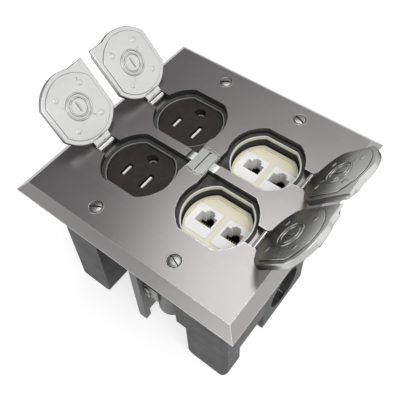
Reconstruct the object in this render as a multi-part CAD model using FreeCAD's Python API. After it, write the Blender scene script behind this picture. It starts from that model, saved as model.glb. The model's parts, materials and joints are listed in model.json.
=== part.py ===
"""Floor socket box with four flip lids, in millimetres.

The legs stand on z = 0, the origin is under the middle of the cover plate, x runs from the
power side to the data side and y from the front to the back. The lids are modelled closed
and then swung open to the stop, which is how the box stands at rest.
"""
import FreeCAD, Part
import math
import os

from FreeCAD import Vector

# Cover plate
TOTAL_HEIGHT = 88.0
PLATE_SIDE = 127.6
PLATE_THICKNESS = 5.0
BEVEL_WIDTH = 4.8
BEVEL_DROP = 4.4
STEP_DEPTH = 1.0
STEP_CLEARANCE = 0.3
GANG_SPACING = 46.6
OUTLET_SPACING = 38.9

# Wells in the plate, each a circle with two flats and one corner tab
WELL_RADIUS = 19.3
WELL_FLAT = 16.9
TAB_REACH = 18.1
TAB_ROOT = 7.4
LEDGE_DEPTH = 4.1
WELL_HOLE_RADIUS = 17.0
WELL_HOLE_FLAT = 14.5

# Gaskets on the ledges
GASKET_THICKNESS = 0.8
GASKET_CLEARANCE = 0.2
GASKET_HOLE_RADIUS = 17.7
GASKET_HOLE_FLAT = 15.3

# Lids and hinges
LID_THICKNESS = 3.2
LID_CLEARANCE = 0.3
OPEN_ANGLE = 130.0
HINGE_OFFSET = 23.3
HINGE_DEPTH = 1.8
KNUCKLE_RADIUS = 1.75
NECK_WIDTH = 10.2
NECK_CLEARANCE = 0.25
STOP_CLEARANCE = 0.15
PIN_RADIUS = 0.9
PIN_GRIP = 3.0
PIN_FIT = 0.02
KNUCKLE_FIT = 0.05
PAD_MARGIN = 2.3
PAD_HEIGHT = 0.4
RING_RADII = (7.0, 5.1)
RING_WIDTH = 0.8
RING_HEIGHT = 0.35
KEY_LENGTH = 5.0
KEY_WIDTH = 2.2
BUMP_RADIUS = 1.7
BUMP_HEIGHT = 0.6
BUMP_CIRCLE = 11.2

# Lock disc in the middle
LOCK_RADIUS = 8.75
LOCK_THICKNESS = 1.6
LOCK_CLEARANCE = 0.2
LOCK_FLOOR_GAP = 0.1
LOCK_NOTCH_CLEARANCE = 0.15
LOCK_SCOOP = 0.8
LOCK_SLOT_WIDTH = 1.2
LOCK_SLOT_LENGTH = 13.0
LOCK_SLOT_DEPTH = 0.8
STEM_RADIUS = 3.0
STEM_FIT = 0.06
WASHER_RADIUS = 6.5
WASHER_CROWN = 3.8
WASHER_THICKNESS = 0.8
CLIP_RADIUS = 5.2
CLIP_THICKNESS = 1.0
CLIP_GROOVE = 0.6
CLIP_FIT = 0.02
CLIP_PLAY = 0.1
CLIP_MOUTH = 1.9
STEM_END = 1.2

# Cover screws
SCREW_SPACING_X = 46.4
SCREW_INSET = 3.8
SCREW_HEAD_RADIUS = 3.5
SCREW_HEAD_DEPTH = 1.9
SCREW_CROWN = 0.5
SCREW_CROWN_RADIUS = 2.2
SCREW_TURNS = {-1: 30, 1: -20}
SCREW_RADIUS = 1.75
SCREW_LENGTH = 18.0
SCREW_SLOT_WIDTH = 1.0
SCREW_SLOT_DEPTH = 1.1
SCREW_FIT = 0.05
COUNTERSINK_LIP = 0.25

# Box under the plate
BOX_LENGTH = 106.0
BOX_WIDTH = 108.0
SCREW_SPACING_Y = BOX_WIDTH - 2 * SCREW_INSET
BOX_CORNER = 4.0
WALL = 3.0
SEAL_THICKNESS = 1.0
FLANGE_SIDE = 5.0
FLANGE_END = 8.2
FLANGE_THICKNESS = 3.0
RING_BOTTOM = 26.0
SCREW_BOSS_RADIUS = 4.2
LEG_WIDTH = 24.3
LEG_SIDE = 12.6
LEG_WEB_DEPTH = 18.0
LEG_ROUND = 4.0
SIDE_WALL_DEPTH = 70.7
CONDUIT_RADIUS = 12.5
CONDUIT_DEPTH = 70.5
CONDUIT_BLOCK_WIDTH = 40.0
CONDUIT_BLOCK_THICKNESS = 6.0
SET_SCREW_RADIUS = 2.0
SET_SCREW_INSET = 0.5
SET_SCREW_TIP_GAP = 0.1

# Rails that carry the devices
RAIL_WIDTH = 7.8
RAIL_THICKNESS = 4.0
RAIL_END_GAP = 0.2
DEVICE_SCREW_SPACING = 83.3
LUG_LENGTH = 7.0
LUG_HEIGHT = 6.0

# Duplex power outlet
OUTLET_RADIUS = 16.7
OUTLET_FLAT = 14.2
OUTLET_TOP_DEPTH = 5.0
OUTLET_RISE = 5.5
OUTLET_SLAB = 1.8
OUTLET_WIDTH = 32.0
OUTLET_LENGTH = 68.0
BLADE_SPACING = 12.7
BLADE_SETBACK = 3.6
GROUND_DISTANCE = 11.9
HOT_SLOT_LENGTH = 6.4
NEUTRAL_SLOT_LENGTH = 8.2
SLOT_WIDTH = 1.8
GROUND_HOLE_RADIUS = 2.6
GROUND_HOLE_FLAT = 1.6
TUBE_WALL = 0.6
STRAP_THICKNESS = 1.5
STRAP_LENGTH = 91.2
STRAP_WIDTH = 24.0
STRAP_MIDDLE_WIDTH = 32.0
STRAP_WINDOW_LENGTH = 24.0
BASE_DEPTH = 24.0
BASE_STEP = 9.0
BASE_STEP_IN = 2.6
BASE_INSET = 0.5
WINDOW_MARGIN = 1.0
RIVET_HEAD = 1.0
CONTACT_THICKNESS = 1.2
CONTACT_RECESS = 0.8
CONTACT_DEPTH = 22.0
BUS_DEPTH = 13.0
BUS_HEIGHT = 5.0
CONTACT_CLEARANCE = 0.3
TERMINAL_HEAD_RADIUS = 3.2
TERMINAL_HEAD = 1.8
TERMINAL_RADIUS = 1.5
TERMINAL_LENGTH = 6.0
SMALL_HEAD_RADIUS = 3.0
SMALL_HEAD_HEIGHT = 1.6
SMALL_SCREW_RADIUS = 1.5
DEVICE_SCREW_LENGTH = 9.0
GROUND_SCREW_LENGTH = 3.5

# Data frame and jacks
DATA_TOP_DEPTH = 10.4
DATA_RISE = 5.5
DATA_RADIUS = 16.5
DATA_FLAT = 13.9
DATA_WIDTH = 35.0
DATA_EAR_THICKNESS = 2.5
DATA_RIM = 1.8
DATA_RECESS = 0.8
DATA_BAR = 2.6
DATA_BAR_OFFSET = 1.05
COLLAR_INSET = 0.3
COLLAR_WALL = 2.0
JACK_RIM = 0.7
JACK_FRONT = 9.6
JACK_BACK = 6.4
JACK_WIDTH = 14.4
JACK_FIT = 0.1
JACK_PROUD = 0.1
JACK_BODY_MARGIN = 1.0
JACK_BODY_DEPTH = 24.0
PORT_REACH = 7.5
PORT_FORWARD = 0.65
PORT_WIDTH = 9.2
PORT_HEIGHT = 5.7
PORT_NOTCHES = ((4.9, 1.6), (3.0, 2.6))
PORT_DEPTH = 13.0
JACK_WIRES = 6
WIRE_PITCH = 1.27
WIRE_THICKNESS = 0.5
WIRE_PROFILE = ((0, 0), (1.0, 0), (3.3, 8.0), (2.8, 8.4), (0, 1.6))
CAP_HEIGHT = 6.0
CAP_MARGIN = 1.2
CAP_SLOTS = 4
CAP_SLOT_WIDTH = 1.0
CAP_SLOT_DEPTH = 2.0

# Partition, cable bracket, hub and saddle under the front edge
PARTITION_X = -3.95
PARTITION_POST = 5.2
PARTITION_POST_DEPTH = 4.0
PARTITION_WEB = 2.5
PARTITION_TOP = 42.0
PARTITION_FOOT = 3.5
PARTITION_EAR = 12.0
SHELF_DEPTH = 50.0
SHELF_THICKNESS = 2.0
SHELF_INSET = 4.6
SHELF_REACH = 21.4
SHELF_FRONT = SHELF_INSET - BOX_WIDTH / 2
SHELF_BACK = SHELF_FRONT + SHELF_REACH
HUB_X = 8.5
HUB_INSET = 13.0
HUB_Y = HUB_INSET - BOX_WIDTH / 2
HUB_RADIUS = 8.0
HUB_BORE = 5.5
HUB_RISE = 8.0
HUB_DROP = 25.0
HUB_TOP = SHELF_DEPTH - HUB_RISE
HUB_BOTTOM = SHELF_DEPTH + HUB_DROP
HUB_FLANGE = 2.0
HUB_COLLAR = 1.0
LEFT_SKIRT_WIDTH = 6.4
SKIRT_GAP = 1.0
BRACKET_PLATE = 1.6
BRACKET_LENGTH = 23.0
SADDLE_THICKNESS = 1.2
SADDLE_WIDTH = 9.0
SADDLE_HEIGHT = 11.0
SADDLE_GAP = 0.2
SADDLE_SCREW_RADIUS = 1.05
SADDLE_SCREW_DROPS = (3.3, 8.2)
SADDLE_SCREW_INSET = 2.3
SADDLE_HEAD_RADIUS = 1.9
SADDLE_HEAD = 1.0

# Ground lug inside the right wall
LUG_PLATE = 1.5
LUG_WIDTH = 9.0
LUG_DROP = 14.0
LUG_DEPTH_BELOW = 30.0
LUG_FOOT = 7.0
LUG_SCREW_DEPTH = 2.5
LUG_SCREW_TIP_GAP = 0.5

OVERCUT = 1.0


def level(depth):
    """Height of a level that lies depth below the face of the plate."""
    return TOTAL_HEIGHT - depth


def block(x, y, z):
    """Box between the given pairs of x, y and z."""
    corner = Vector(min(x), min(y), min(z))
    return Part.makeBox(abs(x[1] - x[0]), abs(y[1] - y[0]), abs(z[1] - z[0]), corner)


def disc(x, y, z, radius):
    """Upright cylinder between two heights."""
    return Part.makeCylinder(radius, abs(z[1] - z[0]), Vector(x, y, min(z)))


def bar(start, direction, length, radius):
    """Cylinder along any direction."""
    return Part.makeCylinder(radius, length, start, direction)


def tube(x, y, z, outer, inner):
    return disc(x, y, z, outer).cut(disc(x, y, z, inner))


def fused(shapes):
    joined = shapes[0]
    for shape in shapes[1:]:
        joined = joined.fuse(shape)
    return joined.removeSplitter()


def prism(points, z):
    """Upright prism over a polygon of x, y points."""
    corners = [Vector(px, py, min(z)) for px, py in points]
    face = Part.Face(Part.makePolygon(corners + corners[:1]))
    return face.extrude(Vector(0, 0, abs(z[1] - z[0])))


def flatted_disc(x, y, z, radius, flat):
    """Circle with a flat on the front and the back, the outline of a duplex face."""
    return disc(x, y, z, radius).common(block((x - radius, x + radius), (y - flat, y + flat), z))


def rounded_block(half_x, half_y, corner, z):
    """Block about the z axis with rounded upright edges."""
    parts = [block((-half_x + corner, half_x - corner), (-half_y, half_y), z)]
    parts.append(block((-half_x, half_x), (-half_y + corner, half_y - corner), z))
    for sx in (-1, 1):
        for sy in (-1, 1):
            parts.append(disc(sx * (half_x - corner), sy * (half_y - corner), z, corner))
    return fused(parts)


def pan_screw(x, y, seat, length, up=1):
    """Pan head screw with its head resting on the height seat."""
    shank = bar(Vector(x, y, seat), Vector(0, 0, -up), length, SMALL_SCREW_RADIUS)
    head = bar(Vector(x, y, seat), Vector(0, 0, up), SMALL_HEAD_HEIGHT, SMALL_HEAD_RADIUS)
    slot = slot_cut(x, y, seat + up * SMALL_HEAD_HEIGHT, SMALL_HEAD_RADIUS, up)
    return shank.fuse(head).cut(slot).removeSplitter()


def slot_cut(x, y, top, radius, up=1):
    half = SCREW_SLOT_WIDTH / 2
    deep = SMALL_HEAD_HEIGHT / 2
    return block((x - radius, x + radius), (y - half, y + half), (top - up * deep, top))


def well_centre(sx, sy):
    return sx * GANG_SPACING / 2, sy * OUTLET_SPACING / 2


def well_shape(sx, sy, inset, z):
    """Outline of a well with its corner tab, drawn in by inset."""
    x, y = well_centre(sx, sy)
    radius = WELL_RADIUS - inset
    flat = WELL_FLAT - inset
    reach = TAB_REACH - inset
    root = math.sqrt(radius ** 2 - TAB_ROOT ** 2)
    tab = [(0, flat), (reach, flat), (root, TAB_ROOT), (0, TAB_ROOT)]
    corner = prism([(x - sx * u, y - sy * v) for u, v in tab], z)
    return flatted_disc(x, y, z, radius, flat).fuse(corner).removeSplitter()


def hinge_x(sx):
    return sx * (GANG_SPACING / 2 + HINGE_OFFSET)


def pin_length():
    return NECK_WIDTH + 2 * (NECK_CLEARANCE + PIN_GRIP)


def pin_axis(sx, sy, length, radius):
    """Cylinder on the hinge line, centred on the neck of the lid."""
    y = well_centre(sx, sy)[1]
    start = Vector(hinge_x(sx), y - length / 2, level(HINGE_DEPTH))
    return bar(start, Vector(0, 1, 0), length, radius)


def quarters():
    """The four wells as side signs and names."""
    return [(sx, sy, end + "_" + side)
            for sx, side in ((-1, "left"), (1, "right"))
            for sy, end in ((-1, "front"), (1, "back"))]


def cover_screw_places():
    return [(sx * SCREW_SPACING_X / 2, sy * SCREW_SPACING_Y / 2)
            for sx in (-1, 1) for sy in (-1, 1)]


def ledge_bottom():
    return PLATE_THICKNESS + STEP_DEPTH


def step_half():
    """Half sizes of the step under the plate that locates it in the box."""
    half_x = BOX_LENGTH / 2 - FLANGE_SIDE - STEP_CLEARANCE
    half_y = BOX_WIDTH / 2 - FLANGE_END - STEP_CLEARANCE
    return half_x, half_y


def hinge_recess(sx, sy):
    """Cut that frees the neck and ends where the open neck lies against its edge."""
    x, y = well_centre(sx, sy)
    reach = HINGE_DEPTH * math.tan(math.radians(OPEN_ANGLE / 2)) + STOP_CLEARANCE
    half = NECK_WIDTH / 2 + NECK_CLEARANCE
    span = (x + sx * WELL_RADIUS / 2, hinge_x(sx) + sx * reach)
    return block(span, (y - half, y + half), (level(LEDGE_DEPTH), level(-OVERCUT)))


def cover_plate():
    half = PLATE_SIDE / 2
    top_half = half - BEVEL_WIDTH
    lower = [(-half, -half), (half, -half), (half, half), (-half, half)]
    wires = []
    for size, depth in ((half, BEVEL_DROP), (top_half, 0)):
        ring = [Vector(px / half * size, py / half * size, level(depth)) for px, py in lower]
        wires.append(Part.makePolygon(ring + ring[:1]))
    bevel = Part.makeLoft(wires, True, True)
    edge = prism(lower, (level(PLATE_THICKNESS), level(BEVEL_DROP)))
    step_x, step_y = step_half()
    step = block((-step_x, step_x), (-step_y, step_y), (level(ledge_bottom()), level(BEVEL_DROP)))
    plate = fused([bevel, edge, step])
    for sx, sy, name in quarters():
        x, y = well_centre(sx, sy)
        plate = plate.cut(well_shape(sx, sy, 0, (level(LEDGE_DEPTH), level(-OVERCUT))))
        through = (level(ledge_bottom() + OVERCUT), level(-OVERCUT))
        plate = plate.cut(flatted_disc(x, y, through, WELL_HOLE_RADIUS, WELL_HOLE_FLAT))
        plate = plate.cut(hinge_recess(sx, sy))
        plate = plate.cut(pin_axis(sx, sy, pin_length(), PIN_RADIUS + PIN_FIT))
    seat = level(LOCK_THICKNESS + LOCK_FLOOR_GAP)
    plate = plate.cut(disc(0, 0, (seat, level(-OVERCUT)), LOCK_RADIUS + LOCK_CLEARANCE))
    through = (level(ledge_bottom() + OVERCUT), level(0))
    plate = plate.cut(disc(0, 0, through, STEM_RADIUS + STEM_FIT))
    for x, y in cover_screw_places():
        plate = plate.cut(countersink(x, y))
    return plate.removeSplitter()


def countersink(x, y):
    """Countersunk hole with a shallow lip round the head."""
    narrow = SCREW_RADIUS + SCREW_FIT
    wide = SCREW_HEAD_RADIUS + SCREW_FIT
    depth = SCREW_HEAD_DEPTH + COUNTERSINK_LIP
    cone = Part.makeCone(narrow, wide, SCREW_HEAD_DEPTH, Vector(x, y, level(depth)))
    lip = disc(x, y, (level(COUNTERSINK_LIP), level(-OVERCUT)), wide)
    hole = disc(x, y, (level(PLATE_THICKNESS + OVERCUT), level(depth) + OVERCUT / 2), narrow)
    return fused([hole, cone, lip])


def cover_screws():
    """Four oval head slotted screws."""
    screws = []
    depth = SCREW_HEAD_DEPTH + COUNTERSINK_LIP
    for x, y in cover_screw_places():
        seat = level(depth) + SCREW_FIT
        cone = Part.makeCone(SCREW_RADIUS, SCREW_HEAD_RADIUS, SCREW_HEAD_DEPTH, Vector(x, y, seat))
        crown = Part.makeCone(SCREW_HEAD_RADIUS, SCREW_CROWN_RADIUS, SCREW_CROWN,
                              Vector(x, y, seat + SCREW_HEAD_DEPTH))
        shank = disc(x, y, (level(SCREW_LENGTH), seat), SCREW_RADIUS)
        top = seat + SCREW_HEAD_DEPTH + SCREW_CROWN
        half = SCREW_SLOT_WIDTH / 2
        reach = SCREW_HEAD_RADIUS
        slot = block((x - reach, x + reach), (y - half, y + half), (top - SCREW_SLOT_DEPTH, top + 1))
        slot.rotate(Vector(x, y, 0), Vector(0, 0, 1), SCREW_TURNS[math.copysign(1, x)])
        screws.append(fused([shank, cone, crown]).cut(slot))
    return Part.makeCompound(screws)


def lid_gasket(sx, sy):
    x, y = well_centre(sx, sy)
    z = (level(LEDGE_DEPTH), level(LEDGE_DEPTH - GASKET_THICKNESS))
    sheet = well_shape(sx, sy, GASKET_CLEARANCE, z)
    return sheet.cut(flatted_disc(x, y, z, GASKET_HOLE_RADIUS, GASKET_HOLE_FLAT))


def lid(sx, sy):
    """Cast lid with hinge neck, knuckle, raised pad, two rings, key mark and four bumps."""
    x, y = well_centre(sx, sy)
    inner = level(LID_THICKNESS)
    leaf = well_shape(sx, sy, LID_CLEARANCE, (inner, level(0)))
    neck_span = (x + sx * WELL_RADIUS / 2, hinge_x(sx))
    neck = block(neck_span, (y - NECK_WIDTH / 2, y + NECK_WIDTH / 2), (inner, level(0)))
    knuckle = pin_axis(sx, sy, NECK_WIDTH, KNUCKLE_RADIUS)
    pad_z = (inner - PAD_HEIGHT, inner)
    pad_radius = WELL_RADIUS - LID_CLEARANCE - PAD_MARGIN
    pad_flat = WELL_FLAT - LID_CLEARANCE - PAD_MARGIN
    pad = flatted_disc(x, y, pad_z, pad_radius, pad_flat)
    pieces = [leaf, neck, knuckle, pad]
    face = inner - PAD_HEIGHT
    for radius in RING_RADII:
        pieces.append(tube(x, y, (face - RING_HEIGHT, face), radius, radius - RING_WIDTH))
    key = block((x - KEY_WIDTH / 2, x + KEY_WIDTH / 2), (y - KEY_LENGTH / 2, y + KEY_LENGTH / 2),
                (face - RING_HEIGHT, face))
    pieces.append(key)
    for turn in range(4):
        angle = math.radians(90 * turn)
        bx = x + BUMP_CIRCLE * math.cos(angle)
        by = y + BUMP_CIRCLE * math.sin(angle)
        place = Vector(bx, by, face)
        pieces.append(Part.makeCone(BUMP_RADIUS, BUMP_RADIUS / 2, BUMP_HEIGHT, place, Vector(0, 0, -1)))
    cover = fused(pieces)
    relief_top = LOCK_THICKNESS + 2 * LOCK_FLOOR_GAP
    cover = cover.cut(disc(0, 0, (level(relief_top), level(-OVERCUT)), LOCK_RADIUS + 2 * LOCK_CLEARANCE))
    cover = cover.cut(pin_axis(sx, sy, NECK_WIDTH + 2, PIN_RADIUS + KNUCKLE_FIT))
    cover.rotate(Vector(hinge_x(sx), y, level(HINGE_DEPTH)), Vector(0, 1, 0), sx * OPEN_ANGLE)
    return cover


def hinge_pin(sx, sy):
    return pin_axis(sx, sy, pin_length(), PIN_RADIUS)


def lock_disc():
    """Coin turned disc, notched where the four wells reach under it."""
    top = (level(LOCK_THICKNESS), level(0))
    flange = disc(0, 0, top, LOCK_RADIUS)
    for sx, sy, name in quarters():
        flange = flange.cut(well_shape(sx, sy, -LOCK_NOTCH_CLEARANCE, (top[0] - 1, top[1] + 1)))
    tip = GANG_SPACING / 2 - TAB_REACH
    for side in (-1, 1):
        scoop = Part.makeBox(LOCK_RADIUS, 2 * LOCK_RADIUS, LOCK_THICKNESS,
                             Vector(0, -LOCK_RADIUS, 0))
        tilt = math.degrees(math.atan2(LOCK_SCOOP, LOCK_RADIUS - tip))
        scoop.rotate(Vector(0, 0, 0), Vector(0, 1, 0), tilt)
        scoop.translate(Vector(tip, 0, level(0)))
        if side < 0:
            scoop = scoop.mirror(Vector(0, 0, 0), Vector(1, 0, 0))
        flange = flange.cut(scoop)
    slot = block((-LOCK_SLOT_WIDTH / 2, LOCK_SLOT_WIDTH / 2),
                 (-LOCK_SLOT_LENGTH / 2, LOCK_SLOT_LENGTH / 2),
                 (level(LOCK_SLOT_DEPTH), level(-OVERCUT)))
    stem = disc(0, 0, (level(stem_end()), level(LOCK_THICKNESS)), STEM_RADIUS)
    groove = tube(0, 0, clip_levels(CLIP_THICKNESS), STEM_RADIUS + OVERCUT, STEM_RADIUS - CLIP_GROOVE)
    return fused([flange.cut(slot), stem]).cut(groove)


def clip_levels(thickness):
    """Heights of the clip, under the spring washer."""
    top = ledge_bottom() + WASHER_THICKNESS + LOCK_FLOOR_GAP
    return level(top + thickness), level(top)


def stem_end():
    return ledge_bottom() + WASHER_THICKNESS + LOCK_FLOOR_GAP + CLIP_THICKNESS + STEM_END


def lock_washer():
    """Dished spring washer against the underside of the plate."""
    high = level(ledge_bottom())
    outer = Part.makeCone(WASHER_CROWN, WASHER_RADIUS, WASHER_THICKNESS,
                          Vector(0, 0, high), Vector(0, 0, -1))
    return outer.cut(disc(0, 0, (high - WASHER_THICKNESS, high), STEM_RADIUS + STEM_FIT))


def lock_clip():
    """Clip with an open side, sprung into the groove of the stem."""
    inner = STEM_RADIUS - CLIP_GROOVE + CLIP_FIT
    z = clip_levels(CLIP_THICKNESS - CLIP_PLAY)
    ring = tube(0, 0, z, CLIP_RADIUS, inner)
    mouth = block((0, CLIP_RADIUS), (-CLIP_MOUTH, CLIP_MOUTH), z)
    return ring.cut(mouth)


def box_top():
    return level(PLATE_THICKNESS + SEAL_THICKNESS)


def cover_seal():
    z = (box_top(), level(PLATE_THICKNESS))
    sheet = rounded_block(BOX_LENGTH / 2, BOX_WIDTH / 2, BOX_CORNER, z)
    open_x = BOX_LENGTH / 2 - FLANGE_SIDE
    open_y = BOX_WIDTH / 2 - FLANGE_END
    sheet = sheet.cut(block((-open_x, open_x), (-open_y, open_y), z))
    for x, y in cover_screw_places():
        sheet = sheet.cut(disc(x, y, z, SCREW_RADIUS + SCREW_FIT))
    return sheet


def edge_round(x, y, toward, reach):
    """Tool that rounds a lower edge of a leg running front to back at x; toward points inwards."""
    tool = Part.makeBox(LEG_ROUND, 2 * reach, LEG_ROUND)
    round_bar = bar(Vector(LEG_ROUND, 0, LEG_ROUND), Vector(0, 1, 0), 2 * reach, LEG_ROUND)
    tool = tool.cut(round_bar)
    tool.translate(Vector(0, -reach, 0))
    if toward < 0:
        tool = tool.mirror(Vector(0, 0, 0), Vector(1, 0, 0))
    tool.translate(Vector(x, y, 0))
    return tool


def leg(sx, sy):
    """Channel shaped leg: an end wall, an inner web and a shoe under the end of the side."""
    outer_x = BOX_LENGTH / 2
    outer_y = BOX_WIDTH / 2
    inner_x = outer_x - LEG_WIDTH
    top = level(RING_BOTTOM)
    back = outer_y - LEG_WEB_DEPTH
    end_wall = block((sx * inner_x, sx * outer_x), (sy * (outer_y - WALL), sy * outer_y), (0, top))
    web = block((sx * inner_x, sx * (inner_x + WALL)), (sy * back, sy * outer_y), (0, top))
    shoe = block((sx * (outer_x - WALL), sx * outer_x), (sy * (outer_y - LEG_SIDE), sy * outer_y),
                 (0, level(SIDE_WALL_DEPTH)))
    shape = fused([end_wall, web, shoe])
    for edge, toward in ((inner_x, 1), (outer_x, -1)):
        shape = shape.cut(edge_round(sx * edge, sy * outer_y, sx * toward, LEG_WEB_DEPTH))
    return shape.common(rounded_block(outer_x, outer_y, BOX_CORNER, (0, top)))


def box_legs():
    return Part.makeCompound([leg(sx, sy) for sx, sy, name in quarters()])


def conduit_outline(sx, reach):
    """Arched outline of the conduit block, from the outer face of the side inwards."""
    outer = BOX_LENGTH / 2
    half = CONDUIT_BLOCK_WIDTH / 2
    span = (sx * (outer - reach), sx * outer)
    pad = block(span, (-half, half), (0, level(CONDUIT_DEPTH)))
    crown = bar(Vector(min(span), 0, level(CONDUIT_DEPTH)), Vector(1, 0, 0), reach, half)
    limit = block(span, (-half, half), (0, level(CONDUIT_DEPTH) + half))
    return fused([pad, crown.common(limit)])


def conduit_blocks():
    """Thick arched blocks low in the sides, each with its conduit entry and set screw hole."""
    blocks = []
    for sx in (-1, 1):
        shape = conduit_outline(sx, CONDUIT_BLOCK_THICKNESS)
        middle = sx * (BOX_LENGTH - CONDUIT_BLOCK_THICKNESS) / 2
        start = Vector(middle - CONDUIT_BLOCK_THICKNESS, 0, level(CONDUIT_DEPTH))
        entry = bar(start, Vector(1, 0, 0), 2 * CONDUIT_BLOCK_THICKNESS, CONDUIT_RADIUS)
        screw = disc(middle, 0, (0, level(CONDUIT_DEPTH)), SET_SCREW_RADIUS + SCREW_FIT)
        blocks.append(shape.cut(entry).cut(screw))
    return Part.makeCompound(blocks)


def box_sides():
    """Sides of the box round the two conduit blocks."""
    outer = BOX_LENGTH / 2
    inner_y = BOX_WIDTH / 2 - WALL
    top = box_top() - FLANGE_THICKNESS
    sides = []
    for sx in (-1, 1):
        wall = block((sx * (outer - WALL), sx * outer), (-inner_y, inner_y), (level(SIDE_WALL_DEPTH), top))
        sides.append(wall.cut(conduit_outline(sx, CONDUIT_BLOCK_THICKNESS)))
    return Part.makeCompound([sides[0], sides[1].cut(ground_screw_hole())])


def rail_lugs():
    """Four tapped lugs on the sides that carry the ends of the rails."""
    lugs = []
    z = (level(rail_bottom() + LUG_HEIGHT), level(rail_bottom()))
    inner = BOX_LENGTH / 2 - WALL
    for x, y in rail_screw_places():
        side = 1 if x > 0 else -1
        across = (y - RAIL_WIDTH / 2, y + RAIL_WIDTH / 2)
        lug = block((side * (inner - LUG_LENGTH), side * inner), across, z)
        lugs.append(lug.cut(disc(x, y, z, SMALL_SCREW_RADIUS + SCREW_FIT)))
    return Part.makeCompound(lugs)


def rail_bottom():
    """Depth of the underside of the rails."""
    return data_ear_bottom() + RAIL_THICKNESS


def box_ring():
    """Top of the box: flange, end walls and the four bosses for the cover screws."""
    outer_x = BOX_LENGTH / 2
    outer_y = BOX_WIDTH / 2
    flange_z = (box_top() - FLANGE_THICKNESS, box_top())
    flange = block((-outer_x, outer_x), (-outer_y, outer_y), flange_z)
    open_x = outer_x - FLANGE_SIDE
    open_y = outer_y - FLANGE_END
    pieces = [flange.cut(block((-open_x, open_x), (-open_y, open_y), flange_z))]
    for sy in (-1, 1):
        pieces.append(block((-outer_x, outer_x), (sy * (outer_y - WALL), sy * outer_y),
                            (level(RING_BOTTOM), box_top())))
    for x, y in cover_screw_places():
        pieces.append(disc(x, y, (level(RING_BOTTOM), box_top()), SCREW_BOSS_RADIUS))
    ring = fused(pieces).common(rounded_block(outer_x, outer_y, BOX_CORNER, (0, box_top())))
    for x, y in cover_screw_places():
        ring = ring.cut(disc(x, y, (level(SCREW_LENGTH + 1), box_top()), SCREW_RADIUS + SCREW_FIT))
    for sy in (-1, 1):
        ring = ring.cut(partition_screw_hole(sy))
    return ring.removeSplitter()


def rail_screw_places():
    x = BOX_LENGTH / 2 - WALL - LUG_LENGTH / 2
    y = DEVICE_SCREW_SPACING / 2
    return [(sx * x, sy * y) for sx in (-1, 1) for sy in (-1, 1)]


def strap_bottom():
    return OUTLET_TOP_DEPTH + OUTLET_RISE + STRAP_THICKNESS


def data_ear_bottom():
    return DATA_TOP_DEPTH + DATA_RISE + DATA_EAR_THICKNESS


def device_rails():
    """Two stepped rails: the land under the outlet strap is higher than the one under the frame."""
    rails = []
    end = BOX_LENGTH / 2 - WALL - RAIL_END_GAP
    half = RAIL_WIDTH / 2
    for sy in (-1, 1):
        y = sy * DEVICE_SCREW_SPACING / 2
        span_y = (y - half, y + half)
        low = block((-end, end), span_y, (level(rail_bottom()), level(data_ear_bottom())))
        inner_end = -GANG_SPACING / 2 + STRAP_WIDTH / 2
        outer_end = -GANG_SPACING / 2 - STRAP_WIDTH / 2
        high = block((outer_end, inner_end), span_y, (level(rail_bottom()), level(strap_bottom())))
        rail = fused([low, high])
        for sx in (-1, 1):
            x = sx * GANG_SPACING / 2
            through = (level(rail_bottom()), level(strap_bottom()))
            rail = rail.cut(disc(x, y, through, SMALL_SCREW_RADIUS + SCREW_FIT))
        for x, screw_y in rail_screw_places():
            through = (level(rail_bottom()), level(strap_bottom()))
            rail = rail.cut(disc(x, screw_y, through, SMALL_SCREW_RADIUS + SCREW_FIT))
        rails.append(rail)
    return Part.makeCompound(rails)


def rail_screws():
    seat = level(data_ear_bottom())
    length = RAIL_THICKNESS + LUG_HEIGHT - 1
    return Part.makeCompound([pan_screw(x, y, seat, length) for x, y in rail_screw_places()])


def outlet_faces():
    """Centres of the two faces of the power outlet."""
    return [well_centre(-1, sy) for sy in (-1, 1)]


def blade_slots(x, y, z, grow):
    """Slots of one face: short on the left, long on the right."""
    half = SLOT_WIDTH / 2 + grow
    cuts = []
    for side, length in ((-1, HOT_SLOT_LENGTH), (1, NEUTRAL_SLOT_LENGTH)):
        sx = x + side * BLADE_SPACING / 2
        reach = length / 2 + grow
        mid = y - BLADE_SETBACK
        cuts.append(block((sx - half, sx + half), (mid - reach, mid + reach), z))
    return cuts


def ground_hole(x, y, z, radius):
    """Round hole with a flat towards the slots."""
    mid = y - BLADE_SETBACK + GROUND_DISTANCE
    hole = disc(x, mid, z, radius)
    return hole.common(block((x - radius, x + radius), (mid - GROUND_HOLE_FLAT, mid + radius), z))


def outlet_face():
    """Moulded front of the outlet with two raised faces."""
    top = level(OUTLET_TOP_DEPTH)
    bottom = top - OUTLET_RISE
    centre = -GANG_SPACING / 2
    half_x = OUTLET_WIDTH / 2
    half_y = OUTLET_LENGTH / 2
    pieces = [block((centre - half_x, centre + half_x), (-half_y, half_y),
                    (bottom, bottom + OUTLET_SLAB))]
    for x, y in outlet_faces():
        pieces.append(flatted_disc(x, y, (bottom, top), OUTLET_RADIUS, OUTLET_FLAT))
    shape = fused(pieces)
    gx, gy = ground_terminal()
    notch = disc(gx, gy, (bottom, bottom + OUTLET_SLAB), SMALL_HEAD_RADIUS + CONTACT_CLEARANCE)
    shape = shape.cut(notch)
    z = (bottom - OVERCUT, top + OVERCUT)
    for x, y in outlet_faces():
        for slot in blade_slots(x, y, z, 0):
            shape = shape.cut(slot)
        shape = shape.cut(ground_hole(x, y, z, GROUND_HOLE_RADIUS))
    rivet = disc(centre, 0, z, SMALL_SCREW_RADIUS + SCREW_FIT)
    return shape.cut(rivet)


def strap_levels():
    return level(strap_bottom()), level(strap_bottom() - STRAP_THICKNESS)


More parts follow.
